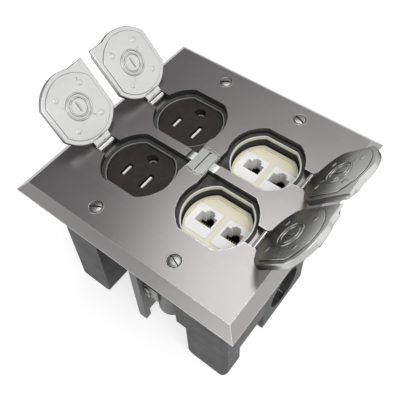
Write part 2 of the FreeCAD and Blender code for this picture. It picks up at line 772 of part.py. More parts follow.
def outlet_strap():
    """Steel mounting strap between the face and the base, with a window under each face."""
    z = strap_levels()
    centre = -GANG_SPACING / 2
    half = STRAP_WIDTH / 2
    long = block((centre - half, centre + half), (-STRAP_LENGTH / 2, STRAP_LENGTH / 2), z)
    middle_half = STRAP_MIDDLE_WIDTH / 2
    middle = block((centre - middle_half, centre + middle_half),
                   (-OUTLET_LENGTH / 2, OUTLET_LENGTH / 2), z)
    strap = fused([long, middle])
    window = STRAP_WINDOW_LENGTH / 2
    for x, y in outlet_faces():
        inner = half - WINDOW_MARGIN
        strap = strap.cut(block((x - inner, x + inner), (y - window, y + window), z))
    for sy in (-1, 1):
        hole = disc(centre, sy * DEVICE_SCREW_SPACING / 2, z, SMALL_SCREW_RADIUS + SCREW_FIT)
        strap = strap.cut(hole)
    x, y = ground_terminal()
    strap = strap.cut(disc(x, y, z, SMALL_SCREW_RADIUS + SCREW_FIT))
    return strap.cut(disc(centre, 0, z, SMALL_SCREW_RADIUS + SCREW_FIT))


def contact_channels(grow):
    """Spaces for the two buses and the ground contacts, larger than them by grow."""
    top = level(strap_bottom())
    channels = []
    bottom = top - CONTACT_DEPTH + STRAP_THICKNESS - grow
    for side, length in ((-1, HOT_SLOT_LENGTH), (1, NEUTRAL_SLOT_LENGTH)):
        x = -GANG_SPACING / 2 + side * BLADE_SPACING / 2
        half = CONTACT_THICKNESS / 2 + grow
        ends = [y - BLADE_SETBACK for cx, y in outlet_faces()]
        reach = length / 2 + grow
        channels.append(block((x - half, x + half), (min(ends) - reach, max(ends) + reach),
                              (bottom, top)))
    return channels


def bus(side, length):
    """Contact strip with a blade contact standing up into each slot of one side."""
    x = -GANG_SPACING / 2 + side * BLADE_SPACING / 2
    half = CONTACT_THICKNESS / 2
    face_top = level(OUTLET_TOP_DEPTH)
    strap_low = level(strap_bottom())
    reach = length / 2 - CONTACT_CLEARANCE
    ends = []
    pieces = []
    for cx, y in outlet_faces():
        mid = y - BLADE_SETBACK
        ends.append(mid)
        pieces.append(block((x - half, x + half), (mid - reach, mid + reach),
                            (strap_low - CONTACT_DEPTH + STRAP_THICKNESS, face_top - CONTACT_RECESS)))
    low = strap_low - BUS_DEPTH
    pieces.append(block((x - half, x + half), (min(ends), max(ends)), (low - BUS_HEIGHT, low)))
    return fused(pieces)


def outlet_hot_contacts():
    return bus(-1, HOT_SLOT_LENGTH)


def outlet_neutral_contacts():
    return bus(1, NEUTRAL_SLOT_LENGTH)


def outlet_ground_contacts():
    """Two open tubes under the ground holes, hung from the strap."""
    tubes = []
    top = level(OUTLET_TOP_DEPTH) - OUTLET_RISE + OUTLET_SLAB
    low = level(strap_bottom()) - BUS_DEPTH
    outer = GROUND_HOLE_RADIUS - CONTACT_CLEARANCE
    for x, y in outlet_faces():
        mid = y - BLADE_SETBACK + GROUND_DISTANCE
        ring = tube(x, mid, (low, top), outer, outer - TUBE_WALL)
        keep = block((x - outer, x + outer), (mid - GROUND_HOLE_FLAT + CONTACT_CLEARANCE, mid + outer),
                     (low, top))
        tubes.append(ring.common(keep))
    return Part.makeCompound(tubes)


def outlet_base():
    """Moulded rear body with stepped sides and channels for the contacts."""
    centre = -GANG_SPACING / 2
    top = level(strap_bottom())
    half_x = OUTLET_WIDTH / 2 - BASE_INSET
    half_y = OUTLET_LENGTH / 2 - BASE_INSET
    upper = block((centre - half_x, centre + half_x), (-half_y, half_y), (top - BASE_STEP, top))
    lower = block((centre - half_x + BASE_STEP_IN, centre + half_x - BASE_STEP_IN),
                  (-half_y + BASE_STEP_IN, half_y - BASE_STEP_IN), (top - BASE_DEPTH, top))
    body = fused([upper, lower])
    for channel in contact_channels(CONTACT_CLEARANCE):
        body = body.cut(channel)
    for x, y in outlet_faces():
        mid = y - BLADE_SETBACK + GROUND_DISTANCE
        low = top - BUS_DEPTH - CONTACT_CLEARANCE
        body = body.cut(disc(x, mid, (low, top), GROUND_HOLE_RADIUS))
    body = body.cut(disc(centre, 0, (top - BASE_DEPTH - 1, top), SMALL_SCREW_RADIUS + SCREW_FIT))
    for side, x, y in terminal_places():
        body = body.cut(terminal_bore(side, x, y, TERMINAL_RADIUS + SCREW_FIT))
    return body


def terminal_places():
    """Side, x of the seat and y of each terminal screw on the base."""
    centre = -GANG_SPACING / 2
    reach = OUTLET_WIDTH / 2 - BASE_INSET - BASE_STEP_IN
    return [(side, centre + side * reach, y) for side in (-1, 1) for cx, y in outlet_faces()]


def terminal_level():
    return level(strap_bottom()) - BUS_DEPTH - BUS_HEIGHT / 2


def terminal_bore(side, x, y, radius):
    inner = BLADE_SPACING / 2 + CONTACT_THICKNESS / 2
    length = OUTLET_WIDTH / 2 - BASE_INSET - BASE_STEP_IN - inner
    return bar(Vector(x, y, terminal_level()), Vector(-side, 0, 0), length, radius)


def terminal_screws(side):
    """Two binding screws on one side of the base, reaching in to the bus."""
    screws = []
    for place, x, y in terminal_places():
        if place == side:
            head = bar(Vector(x, y, terminal_level()), Vector(side, 0, 0), TERMINAL_HEAD,
                       TERMINAL_HEAD_RADIUS)
            slot = block((x + side * TERMINAL_HEAD / 2, x + side * (TERMINAL_HEAD + 1)),
                         (y - TERMINAL_HEAD_RADIUS, y + TERMINAL_HEAD_RADIUS),
                         (terminal_level() - 0.5, terminal_level() + 0.5))
            screws.append(fused([head, terminal_bore(side, x, y, TERMINAL_RADIUS)]).cut(slot))
    return Part.makeCompound(screws)


def ground_terminal():
    """Place of the ground screw, between the rail and the outlet body."""
    x = -GANG_SPACING / 2 - STRAP_WIDTH / 3
    y = -DEVICE_SCREW_SPACING / 2 + RAIL_WIDTH / 2 + SMALL_SCREW_RADIUS + 3 * SCREW_FIT
    return x, y


def outlet_ground_screw():
    """Green ground screw through the front end of the strap."""
    x, y = ground_terminal()
    return pan_screw(x, y, level(strap_bottom() - STRAP_THICKNESS), GROUND_SCREW_LENGTH)


def outlet_rivet():
    """Rivet that holds the face, strap and base together."""
    centre = -GANG_SPACING / 2
    top = level(OUTLET_TOP_DEPTH) - OUTLET_RISE + OUTLET_SLAB
    bottom = level(strap_bottom()) - BASE_DEPTH
    shank = disc(centre, 0, (bottom, top), SMALL_SCREW_RADIUS)
    head = disc(centre, 0, (top, top + RIVET_HEAD), SMALL_HEAD_RADIUS)
    foot = disc(centre, 0, (bottom - RIVET_HEAD, bottom), SMALL_HEAD_RADIUS)
    return fused([shank, head, foot])


def device_screws(sx, seat_depth):
    """Two screws that hold a device to the rails."""
    screws = []
    for sy in (-1, 1):
        y = sy * DEVICE_SCREW_SPACING / 2
        screws.append(pan_screw(sx * GANG_SPACING / 2, y, level(seat_depth), DEVICE_SCREW_LENGTH))
    return Part.makeCompound(screws)


def data_faces():
    return [well_centre(1, sy) for sy in (-1, 1)]


def jack_centre(x, y, side):
    """Middle of one jack; the bar between the two jacks of a face is a little off its centre."""
    reach = DATA_BAR_OFFSET + side * (DATA_BAR + JACK_WIDTH) / 2
    return x + reach, y + (JACK_BACK - JACK_FRONT) / 2


def jack_outline(side, x, y, z, inset):
    """Window of one jack in a face: a rectangle clipped by the rim of the face."""
    px, py = jack_centre(x, y, side)
    half_x = JACK_WIDTH / 2 - inset
    half_y = (JACK_FRONT + JACK_BACK) / 2 - inset
    pane = block((px - half_x, px + half_x), (py - half_y, py + half_y), z)
    return pane.common(flatted_disc(x, y, z, DATA_RADIUS - JACK_RIM - inset, DATA_FLAT - inset))


def data_frame():
    """Moulded frame with two raised faces, each with two windows, and a screw ear at each end."""
    top = level(DATA_TOP_DEPTH)
    low = top - DATA_RISE
    bottom = low - DATA_EAR_THICKNESS
    centre = GANG_SPACING / 2
    half = STRAP_WIDTH / 2
    wide = DATA_WIDTH / 2
    pieces = [block((centre - half, centre + half), (-STRAP_LENGTH / 2, STRAP_LENGTH / 2), (bottom, low))]
    pieces.append(block((centre - wide, centre + wide), (-OUTLET_LENGTH / 2, OUTLET_LENGTH / 2),
                        (bottom, low)))
    for x, y in data_faces():
        pieces.append(flatted_disc(x, y, (bottom, top), DATA_RADIUS, DATA_FLAT))
    frame = fused(pieces)
    for x, y in data_faces():
        recess = (top - DATA_RECESS, top + 1)
        frame = frame.cut(flatted_disc(x, y, recess, DATA_RADIUS - DATA_RIM, DATA_FLAT - DATA_RIM))
        for side in (-1, 1):
            frame = frame.cut(jack_outline(side, x, y, (bottom - 1, top + 1), 0))
    for sy in (-1, 1):
        hole = disc(centre, sy * DEVICE_SCREW_SPACING / 2, (bottom, low), SMALL_SCREW_RADIUS + SCREW_FIT)
        frame = frame.cut(hole)
    return frame


def data_collars():
    """Soft collars that close the space between the frame and the plate round each face."""
    z = (level(DATA_TOP_DEPTH + DATA_RISE), level(ledge_bottom()))
    collars = []
    for x, y in data_faces():
        inner = flatted_disc(x, y, z, WELL_HOLE_RADIUS + COLLAR_INSET, WELL_HOLE_FLAT + COLLAR_INSET)
        reach = COLLAR_INSET + COLLAR_WALL
        outer = flatted_disc(x, y, z, WELL_HOLE_RADIUS + reach, WELL_HOLE_FLAT + reach)
        collars.append(outer.cut(inner))
    return Part.makeCompound(collars)


def jack_places():
    """The four jacks as face centre, side in the face and name."""
    places = []
    for (x, y), end in zip(data_faces(), ("front", "back")):
        for side, hand in ((-1, "left"), (1, "right")):
            places.append((x, y, side, end + "_" + hand))
    return places


def jack_top():
    return level(DATA_TOP_DEPTH + DATA_RECESS) + JACK_PROUD


def port_centre(x, y, side):
    return x + DATA_BAR_OFFSET + side * PORT_REACH, y - PORT_FORWARD


def port(x, y, side, z):
    """Opening of a jack, with two latch steps towards the back."""
    px, py = port_centre(x, y, side)
    half = PORT_WIDTH / 2
    high = py + PORT_HEIGHT / 2
    cuts = [block((px - half, px + half), (py - PORT_HEIGHT / 2, high), z)]
    for width, reach in PORT_NOTCHES:
        cuts.append(block((px - width / 2, px + width / 2), (high, high + reach), z))
    return fused(cuts)


def data_jack(x, y, side):
    """White jack body: the face fills the window and a narrower body hangs behind it."""
    top = jack_top()
    bottom = level(data_ear_bottom())
    face = jack_outline(side, x, y, (bottom, top), JACK_FIT)
    px, py = jack_centre(x, y, side)
    half_x = JACK_WIDTH / 2 - JACK_BODY_MARGIN
    half_y = (JACK_FRONT + JACK_BACK) / 2 - JACK_BODY_MARGIN
    body = block((px - half_x, px + half_x), (py - half_y, py + half_y), (top - JACK_BODY_DEPTH, bottom))
    jack = fused([face, body])
    return jack.cut(port(x, y, side, (top - PORT_DEPTH, top + 1)))


def jack_contacts(x, y, side):
    """Spring wires that slant up from the floor of the port."""
    px, py = port_centre(x, y, side)
    floor = jack_top() - PORT_DEPTH
    front = py - PORT_HEIGHT / 2
    wires = []
    for count in range(JACK_WIRES):
        wx = px + (count - (JACK_WIRES - 1) / 2) * WIRE_PITCH - WIRE_THICKNESS / 2
        corners = [Vector(wx, front + v, floor + w) for v, w in WIRE_PROFILE]
        face = Part.Face(Part.makePolygon(corners + corners[:1]))
        wires.append(face.extrude(Vector(WIRE_THICKNESS, 0, 0)))
    return Part.makeCompound(wires)


def jack_cap(x, y, side):
    """Wiring cap pushed onto the rear of a jack, with wire slots down both long sides."""
    px, py = jack_centre(x, y, side)
    half_x = JACK_WIDTH / 2 - CAP_MARGIN
    half_y = (JACK_FRONT + JACK_BACK) / 2 - CAP_MARGIN
    top = jack_top() - JACK_BODY_DEPTH
    cap = block((px - half_x, px + half_x), (py - half_y, py + half_y), (top - CAP_HEIGHT, top))
    for count in range(CAP_SLOTS):
        slot_y = py - half_y + (count + 1) * 2 * half_y / (CAP_SLOTS + 1)
        for hand in (-1, 1):
            edge = px + hand * half_x
            cap = cap.cut(block((edge - hand * CAP_SLOT_DEPTH, edge),
                                (slot_y - CAP_SLOT_WIDTH / 2, slot_y + CAP_SLOT_WIDTH / 2),
                                (top - CAP_HEIGHT, top - CAP_HEIGHT / 3)))
    return cap


def partition():
    """Upright wall between the power side and the data side, with a post at each end."""
    half = PARTITION_POST / 2
    web_half = PARTITION_WEB / 2
    outer = BOX_WIDTH / 2
    inner = outer - PARTITION_POST_DEPTH
    web = block((PARTITION_X - web_half, PARTITION_X + web_half), (-inner, inner),
                (PARTITION_FOOT, level(PARTITION_TOP)))
    pieces = [web]
    for sy in (-1, 1):
        pieces.append(block((PARTITION_X - half, PARTITION_X + half), (sy * inner, sy * outer),
                            (0, level(RING_BOTTOM))))
        ear_out = outer - WALL
        pieces.append(block((PARTITION_X - half, PARTITION_X + half),
                            (sy * inner, sy * ear_out),
                            (level(RING_BOTTOM + OVERCUT), level(RING_BOTTOM - PARTITION_EAR))))
    wall = fused(pieces)
    for sy in (-1, 1):
        wall = wall.cut(partition_screw_hole(sy))
    return wall


def partition_screw_hole(sy, radius=SMALL_SCREW_RADIUS + SCREW_FIT):
    """Hole through the end wall of the box and into the ear of the partition."""
    outer = BOX_WIDTH / 2
    start = Vector(PARTITION_X, sy * outer, level(RING_BOTTOM - PARTITION_EAR / 2))
    return bar(start, Vector(0, -sy, 0), PARTITION_POST_DEPTH, radius)


def partition_screws():
    screws = []
    for sy in (-1, 1):
        outer = BOX_WIDTH / 2
        place = Vector(PARTITION_X, sy * outer, level(RING_BOTTOM - PARTITION_EAR / 2))
        head = bar(place, Vector(0, sy, 0), SMALL_HEAD_HEIGHT, SMALL_HEAD_RADIUS)
        slot = block((PARTITION_X - SMALL_HEAD_RADIUS, PARTITION_X + SMALL_HEAD_RADIUS),
                     (sy * (outer + SMALL_HEAD_HEIGHT / 2), sy * (outer + SMALL_HEAD_HEIGHT + 1)),
                     (place.z - SCREW_SLOT_WIDTH / 2, place.z + SCREW_SLOT_WIDTH / 2))
        shank = partition_screw_hole(sy, SMALL_SCREW_RADIUS)
        screws.append(fused([head, shank]).cut(slot))
    return Part.makeCompound(screws)


def conduit_set_screws():
    """Headless screw up through each conduit block, its tip level with the bore."""
    screws = []
    for sx in (-1, 1):
        x = sx * (BOX_LENGTH - CONDUIT_BLOCK_THICKNESS) / 2
        tip = level(CONDUIT_DEPTH) - CONDUIT_RADIUS
        screws.append(disc(x, 0, (SET_SCREW_INSET, tip - SET_SCREW_TIP_GAP), SET_SCREW_RADIUS))
    return Part.makeCompound(screws)


def bracket_span():
    """x of the two ends of the cable bracket, between the partition and the right front leg."""
    return PARTITION_X + PARTITION_WEB / 2, BOX_LENGTH / 2 - LEG_WIDTH


def cable_bracket():
    """Bent plate: a shelf with a hole for the hub and a front skirt on each side of it."""
    left, right = bracket_span()
    shelf_z = (level(SHELF_DEPTH + SHELF_THICKNESS), level(SHELF_DEPTH))
    shelf = block((left, right), (SHELF_FRONT, SHELF_BACK), shelf_z)
    low = level(SHELF_DEPTH + BRACKET_LENGTH)
    skirt_y = (SHELF_FRONT, SHELF_FRONT + BRACKET_PLATE)
    right_skirt = block((HUB_X + HUB_RADIUS + SKIRT_GAP, right), skirt_y, (low, shelf_z[1]))
    left_skirt = block((left, left + LEFT_SKIRT_WIDTH), skirt_y,
                       (level(SHELF_DEPTH + SADDLE_HEIGHT), shelf_z[1]))
    plate = fused([shelf, right_skirt, left_skirt])
    plate = plate.cut(disc(HUB_X, HUB_Y, shelf_z, HUB_RADIUS + SCREW_FIT))
    for x, z in saddle_screw_places():
        plate = plate.cut(bar(Vector(x, SHELF_FRONT, z), Vector(0, 1, 0), BRACKET_PLATE,
                              SADDLE_SCREW_RADIUS + SCREW_FIT))
    return plate


def cable_hub():
    """Round sleeve for the data cables, with a collar that rests on the shelf."""
    top = level(HUB_TOP)
    bottom = level(HUB_BOTTOM)
    collar_z = (level(SHELF_DEPTH), level(SHELF_DEPTH - HUB_FLANGE))
    collar = disc(HUB_X, HUB_Y, collar_z, HUB_RADIUS + HUB_COLLAR)
    sleeve = disc(HUB_X, HUB_Y, (bottom, top), HUB_RADIUS)
    return fused([sleeve, collar]).cut(disc(HUB_X, HUB_Y, (bottom, top), HUB_BORE))


def saddle_left():
    """Left edge of the saddle, just clear of the post of the partition."""
    return PARTITION_X + PARTITION_POST / 2 + SADDLE_GAP


def saddle_screw_places():
    """x and height of the two saddle screws."""
    x = saddle_left() + SADDLE_SCREW_INSET
    return [(x, level(SHELF_DEPTH + drop)) for drop in SADDLE_SCREW_DROPS]


def cable_saddle():
    """Bright plate screwed to the left skirt, its free end against the hub."""
    left = saddle_left()
    y = (SHELF_FRONT - SADDLE_THICKNESS, SHELF_FRONT)
    z = (level(SHELF_DEPTH + SADDLE_HEIGHT), level(SHELF_DEPTH))
    plate = block((left, left + SADDLE_WIDTH), y, z)
    for x, height in saddle_screw_places():
        plate = plate.cut(bar(Vector(x, y[0], height), Vector(0, 1, 0), SADDLE_THICKNESS,
                              SADDLE_SCREW_RADIUS + SCREW_FIT))
    return plate


def saddle_screws():
    screws = []
    front = SHELF_FRONT - SADDLE_THICKNESS
    for x, z in saddle_screw_places():
        head = bar(Vector(x, front, z), Vector(0, -1, 0), SADDLE_HEAD, SADDLE_HEAD_RADIUS)
        shank = bar(Vector(x, front, z), Vector(0, 1, 0), SADDLE_THICKNESS + BRACKET_PLATE,
                    SADDLE_SCREW_RADIUS)
        screws.append(fused([head, shank]))
    return Part.makeCompound(screws)


def ground_screw_hole():
    inner = BOX_LENGTH / 2 - WALL
    radius = SMALL_SCREW_RADIUS + SCREW_FIT
    start = Vector(inner, 0, level(LUG_DEPTH_BELOW))
    return bar(start, Vector(1, 0, 0), LUG_SCREW_DEPTH, radius)


def ground_lug():
    """Bent terminal plate on the inner face of the right wall."""
    inner = BOX_LENGTH / 2 - WALL
    top = level(LUG_DEPTH_BELOW) + LUG_WIDTH / 2
    half = LUG_WIDTH / 2
    back = block((inner - LUG_PLATE, inner), (-half, half), (top - LUG_DROP, top))
    foot = block((inner - LUG_FOOT, inner), (-half, half), (top - LUG_DROP, top - LUG_DROP + LUG_PLATE))
    start = Vector(inner - LUG_PLATE, 0, level(LUG_DEPTH_BELOW))
    hole = bar(start, Vector(1, 0, 0), LUG_PLATE, SMALL_SCREW_RADIUS + SCREW_FIT)
    return fused([back, foot]).cut(hole)


def ground_lug_screw():
    front = BOX_LENGTH / 2 - WALL - LUG_PLATE
    place = Vector(front, 0, level(LUG_DEPTH_BELOW))
    head = bar(place, Vector(-1, 0, 0), SMALL_HEAD_HEIGHT, SMALL_HEAD_RADIUS)
    shank = bar(place, Vector(1, 0, 0), LUG_PLATE + LUG_SCREW_DEPTH - LUG_SCREW_TIP_GAP,
                SMALL_SCREW_RADIUS)
    slot = block((front - SMALL_HEAD_HEIGHT - 1, front - SMALL_HEAD_HEIGHT / 2),
                 (-SMALL_HEAD_RADIUS, SMALL_HEAD_RADIUS),
                 (place.z - SCREW_SLOT_WIDTH / 2, place.z + SCREW_SLOT_WIDTH / 2))
    return fused([head, shank]).cut(slot)


def pieces():
    """Every piece of the box by the name of its node."""
    named = {
        "cover_plate": cover_plate(),
        "cover_screws": cover_screws(),
        "cover_seal": cover_seal(),
        "lock_disc": lock_disc(),
        "lock_washer": lock_washer(),
        "lock_clip": lock_clip(),
        "box_ring": box_ring(),
        "box_sides": box_sides(),
        "rail_lugs": rail_lugs(),
        "conduit_blocks": conduit_blocks(),
        "box_legs": box_legs(),
        "device_rails": device_rails(),
        "rail_screws": rail_screws(),
        "partition": partition(),
        "partition_screws": partition_screws(),
        "conduit_set_screws": conduit_set_screws(),
        "outlet_face": outlet_face(),
        "outlet_strap": outlet_strap(),
        "outlet_base": outlet_base(),
        "outlet_hot_contacts": outlet_hot_contacts(),
        "outlet_neutral_contacts": outlet_neutral_contacts(),
        "outlet_ground_contacts": outlet_ground_contacts(),
        "outlet_hot_screws": terminal_screws(-1),
        "outlet_neutral_screws": terminal_screws(1),
        "outlet_ground_screw": outlet_ground_screw(),
        "outlet_rivet": outlet_rivet(),
        "outlet_mounting_screws": device_screws(-1, strap_bottom() - STRAP_THICKNESS),
        "data_frame": data_frame(),
        "data_collars": data_collars(),
        "data_mounting_screws": device_screws(1, data_ear_bottom() - DATA_EAR_THICKNESS),
        "cable_bracket": cable_bracket(),
        "cable_hub": cable_hub(),
        "cable_saddle": cable_saddle(),
        "saddle_screws": saddle_screws(),
        "ground_lug": ground_lug(),
        "ground_lug_screw": ground_lug_screw(),
    }
    for sx, sy, name in quarters():
        named["lid_" + name] = lid(sx, sy)
        named["lid_gasket_" + name] = lid_gasket(sx, sy)
        named["hinge_pin_" + name] = hinge_pin(sx, sy)
    for x, y, side, name in jack_places():
        named["data_jack_" + name] = data_jack(x, y, side)
        named["jack_contacts_" + name] = jack_contacts(x, y, side)
        named["jack_cap_" + name] = jack_cap(x, y, side)
    return named


def main():
    os.makedirs("parts", exist_ok=True)
    for name, shape in pieces().items():
        shape.exportStep("parts/" + name + ".step")


main()
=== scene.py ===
"""Looks of the floor socket box: finishes for the CAD frame, cast lids, screw heads and small trim."""

import json
import math

import bmesh
import bpy
from mathutils import Matrix, Vector


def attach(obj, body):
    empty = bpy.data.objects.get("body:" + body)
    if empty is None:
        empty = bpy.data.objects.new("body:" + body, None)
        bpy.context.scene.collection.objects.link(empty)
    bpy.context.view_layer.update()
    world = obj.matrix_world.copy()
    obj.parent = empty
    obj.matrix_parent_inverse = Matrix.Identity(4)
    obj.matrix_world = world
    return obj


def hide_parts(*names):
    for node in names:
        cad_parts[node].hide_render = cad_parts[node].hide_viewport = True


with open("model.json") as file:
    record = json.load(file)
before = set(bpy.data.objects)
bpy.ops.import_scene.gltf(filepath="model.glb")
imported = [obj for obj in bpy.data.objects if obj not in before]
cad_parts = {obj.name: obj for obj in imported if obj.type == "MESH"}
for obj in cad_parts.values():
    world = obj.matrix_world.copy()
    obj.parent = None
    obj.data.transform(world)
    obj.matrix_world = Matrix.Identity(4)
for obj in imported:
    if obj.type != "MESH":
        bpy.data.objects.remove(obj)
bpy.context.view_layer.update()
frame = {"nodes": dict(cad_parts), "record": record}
MM = 0.001

# Places that the looks share with the frame, in millimetres
PLATE_TOP = 88.0
GANG_X = 23.3
OUTLET_Y = 19.45
HINGE_REACH = 23.3
HINGE_DROP = 1.8
OPEN_ANGLE = 130.0
QUARTERS = [(sx, sy, end + "_" + side)
            for sx, side in ((-1, "left"), (1, "right"))
            for sy, end in ((-1, "front"), (1, "back"))]


# Camera, fitted to the photograph with the middle of the plate top as its aim
CAMERA_AZIMUTH = math.radians(39.901)
CAMERA_ELEVATION = math.radians(51.592)
CAMERA_ROLL = math.radians(-2.822)
CAMERA_DISTANCE = 280.454
SENSOR_WIDTH = 36.0
PICTURE_PIXELS = 400
FOCAL_PIXELS = 581.17
PICTURE_SHIFT = (-0.0075, -0.0975)
CLIP_DISTANCES = (0.01, 20)


def add_camera():
    level = math.cos(CAMERA_ELEVATION)
    back = Vector((math.sin(CAMERA_AZIMUTH) * level, -math.cos(CAMERA_AZIMUTH) * level,
                   math.sin(CAMERA_ELEVATION)))
    right = Vector((math.cos(CAMERA_AZIMUTH), math.sin(CAMERA_AZIMUTH), 0))
    up = back.cross(right)
    turned_right = right * math.cos(CAMERA_ROLL) + up * math.sin(CAMERA_ROLL)
    turned_up = up * math.cos(CAMERA_ROLL) - right * math.sin(CAMERA_ROLL)
    data = bpy.data.cameras.new("photo_camera")
    data.sensor_width = SENSOR_WIDTH
    data.lens = FOCAL_PIXELS / PICTURE_PIXELS * SENSOR_WIDTH
    data.shift_x, data.shift_y = PICTURE_SHIFT
    data.clip_start, data.clip_end = CLIP_DISTANCES
    camera = bpy.data.objects.new("photo_camera", data)
    bpy.context.scene.collection.objects.link(camera)
    place = (Vector((0, 0, PLATE_TOP)) + back * CAMERA_DISTANCE) * MM
    turn = Matrix((turned_right, turned_up, back)).transposed().to_4x4()
    camera.matrix_world = Matrix.Translation(place) @ turn
    bpy.context.scene.camera = camera


# Shader helpers
def add_node(tree, kind, **settings):
    node = tree.nodes.new(kind)
    for key, value in settings.items():
        setattr(node, key, value)
    return node


def new_group(name, inputs, outputs):
    """Shader node group with named number inputs and outputs."""
    tree = bpy.data.node_groups.new(name, "ShaderNodeTree")
    for label, default in inputs:
        socket = tree.interface.new_socket(label, in_out="INPUT", socket_type="NodeSocketFloat")
        socket.default_value = default
    for label in outputs:
        tree.interface.new_socket(label, in_out="OUTPUT", socket_type="NodeSocketFloat")
    entry = add_node(tree, "NodeGroupInput")
    leave = add_node(tree, "NodeGroupOutput")
    return tree, entry, leave


def math_node(tree, operation, first, second=None, clamp=False):
    node = add_node(tree, "ShaderNodeMath", operation=operation, use_clamp=clamp)
    for index, value in enumerate((first, second)):
        if value is None:
            continue
        if isinstance(value, (int, float)):
            node.inputs[index].default_value = value
        else:
            tree.links.new(value, node.inputs[index])
    return node.outputs[0]


def weighted_sum(tree, *parts):
    """Sum of sockets, each given with its weight."""
    total = None
    for socket, weight in parts:
        part = math_node(tree, "MULTIPLY", socket, weight)
        total = part if total is None else math_node(tree, "ADD", total, part)
    return total


def stretched_noise(tree, scales, detail, roughness=0.55, scale_input=None):
    """Noise in object space; scales stretch it along x, y and z."""
    place = add_node(tree, "ShaderNodeTexCoord").outputs["Object"]
    stretch = add_node(tree, "ShaderNodeVectorMath", operation="MULTIPLY")
    stretch.inputs[1].default_value = scales
    tree.links.new(place, stretch.inputs[0])
    noise = add_node(tree, "ShaderNodeTexNoise")
    noise.inputs["Detail"].default_value = detail
    noise.inputs["Roughness"].default_value = roughness
    noise.inputs["Scale"].default_value = 1.0
    if scale_input is not None:
        tree.links.new(scale_input, noise.inputs["Scale"])
    tree.links.new(stretch.outputs[0], noise.inputs["Vector"])
    return noise.outputs["Fac"]


def spread(tree, value, low, high):
    """Pulls a value apart so that low becomes 0 and high becomes 1."""
    node = add_node(tree, "ShaderNodeMapRange")
    node.inputs["From Min"].default_value = low
    node.inputs["From Max"].default_value = high
    tree.links.new(value, node.inputs["Value"])
    return node.outputs["Result"]


def brush_group():
    """Fine parallel lines along x with a slow change of tone."""
    tree, entry, leave = new_group("Brushed lines", [("Fineness", 1.0)], ["Height", "Tone"])
    fineness = entry.outputs["Fineness"]
    fine = stretched_noise(tree, (60, 9000, 3000), detail=3, roughness=0.6, scale_input=fineness)
    wide = stretched_noise(tree, (18, 900, 500), detail=2, roughness=0.5, scale_input=fineness)
    cloud = stretched_noise(tree, (26, 34, 30), detail=2)
    tree.links.new(weighted_sum(tree, (fine, 1.0), (wide, 0.6)), leave.inputs["Height"])
    tone = weighted_sum(tree, (fine, 0.35), (wide, 0.3), (cloud, 0.35))
    tree.links.new(spread(tree, tone, 0.3, 0.7), leave.inputs["Tone"])
    return tree


def cast_group():
    """Orange peel and shallow blotches of a small casting."""
    tree, entry, leave = new_group("Cast skin", [("Coarseness", 1.0)], ["Height", "Tone"])
    coarseness = entry.outputs["Coarseness"]
    peel = stretched_noise(tree, (2600, 2600, 2600), detail=3, roughness=0.6)
    lump = stretched_noise(tree, (420, 420, 420), detail=2, roughness=0.5, scale_input=coarseness)
    blotch = stretched_noise(tree, (150, 150, 150), detail=3, roughness=0.6, scale_input=coarseness)
    tree.links.new(weighted_sum(tree, (lump, 1.0), (peel, 0.25)), leave.inputs["Height"])
    tone = weighted_sum(tree, (blotch, 0.7), (peel, 0.3))
    tree.links.new(spread(tree, tone, 0.35, 0.65), leave.inputs["Tone"])
    return tree


def moulded_group():
    """Fine spark-eroded grain of moulded plastic or rubber."""
    tree, entry, leave = new_group("Moulded grain", [("Grain", 1.0)], ["Height", "Tone"])
    coarse = entry.outputs["Grain"]
    grain = stretched_noise(tree, (5200, 5200, 5200), detail=2, roughness=0.5, scale_input=coarse)
    cloud = stretched_noise(tree, (90, 90, 90), detail=3)
    tree.links.new(grain, leave.inputs["Height"])
    tone = weighted_sum(tree, (cloud, 0.75), (grain, 0.25))
    tree.links.new(spread(tree, tone, 0.35, 0.65), leave.inputs["Tone"])
    return tree


# Cosine between the true and the rounded normal, where the edge mark of wear and painted highlight begins and
# where it is full
EDGE_MARK_TURN = (0.995, 0.86)


def wear_and_highlight_group():
    """Mask of the edges, for rubbed wear and for a painted highlight along them."""
    tree, entry, leave = new_group("Edge wear and painted highlight", [("Reach", 0.0004), ("Break up", 0.5)], ["Mask"])
    rounded = add_node(tree, "ShaderNodeBevel", samples=4)
    tree.links.new(entry.outputs["Reach"], rounded.inputs["Radius"])
    plain = add_node(tree, "ShaderNodeNewGeometry")
    turn = add_node(tree, "ShaderNodeVectorMath", operation="DOT_PRODUCT")
    tree.links.new(rounded.outputs["Normal"], turn.inputs[0])
    tree.links.new(plain.outputs["Normal"], turn.inputs[1])
    edge = spread(tree, turn.outputs["Value"], *EDGE_MARK_TURN)
    patch = stretched_noise(tree, (700, 700, 700), detail=3, roughness=0.65)
    thin = math_node(tree, "MULTIPLY", spread(tree, patch, 0.38, 0.62), entry.outputs["Break up"])
    tree.links.new(math_node(tree, "SUBTRACT", edge, thin, clamp=True), leave.inputs["Mask"])
    return tree


def dust_group():
    """Thin dust that lies on faces that look up."""
    tree, entry, leave = new_group("Dust", [("Cover", 0.1)], ["Mask"])
    facing = add_node(tree, "ShaderNodeSeparateXYZ")
    normal = add_node(tree, "ShaderNodeNewGeometry").outputs["Normal"]
    tree.links.new(normal, facing.inputs[0])
    level = spread(tree, facing.outputs["Z"], 0.2, 0.95)
    patch = spread(tree, stretched_noise(tree, (240, 240, 240), detail=4, roughness=0.7), 0.4, 0.75)
    mask = math_node(tree, "MULTIPLY", math_node(tree, "MULTIPLY", level, patch), entry.outputs["Cover"])
    tree.links.new(mask, leave.inputs["Mask"])
    return tree


def corner_shade_group():
    """Mask of painted shade in tight inner corners, from ambient occlusion."""
    tree, entry, leave = new_group("Painted shade in corners", [("Reach", 0.0006)], ["Mask"])
    nook = add_node(tree, "ShaderNodeAmbientOcclusion", samples=8, only_local=True)
    tree.links.new(entry.outputs["Reach"], nook.inputs["Distance"])
    tree.links.new(spread(tree, nook.outputs["AO"], 0.92, 0.6), leave.inputs["Mask"])
    return tree


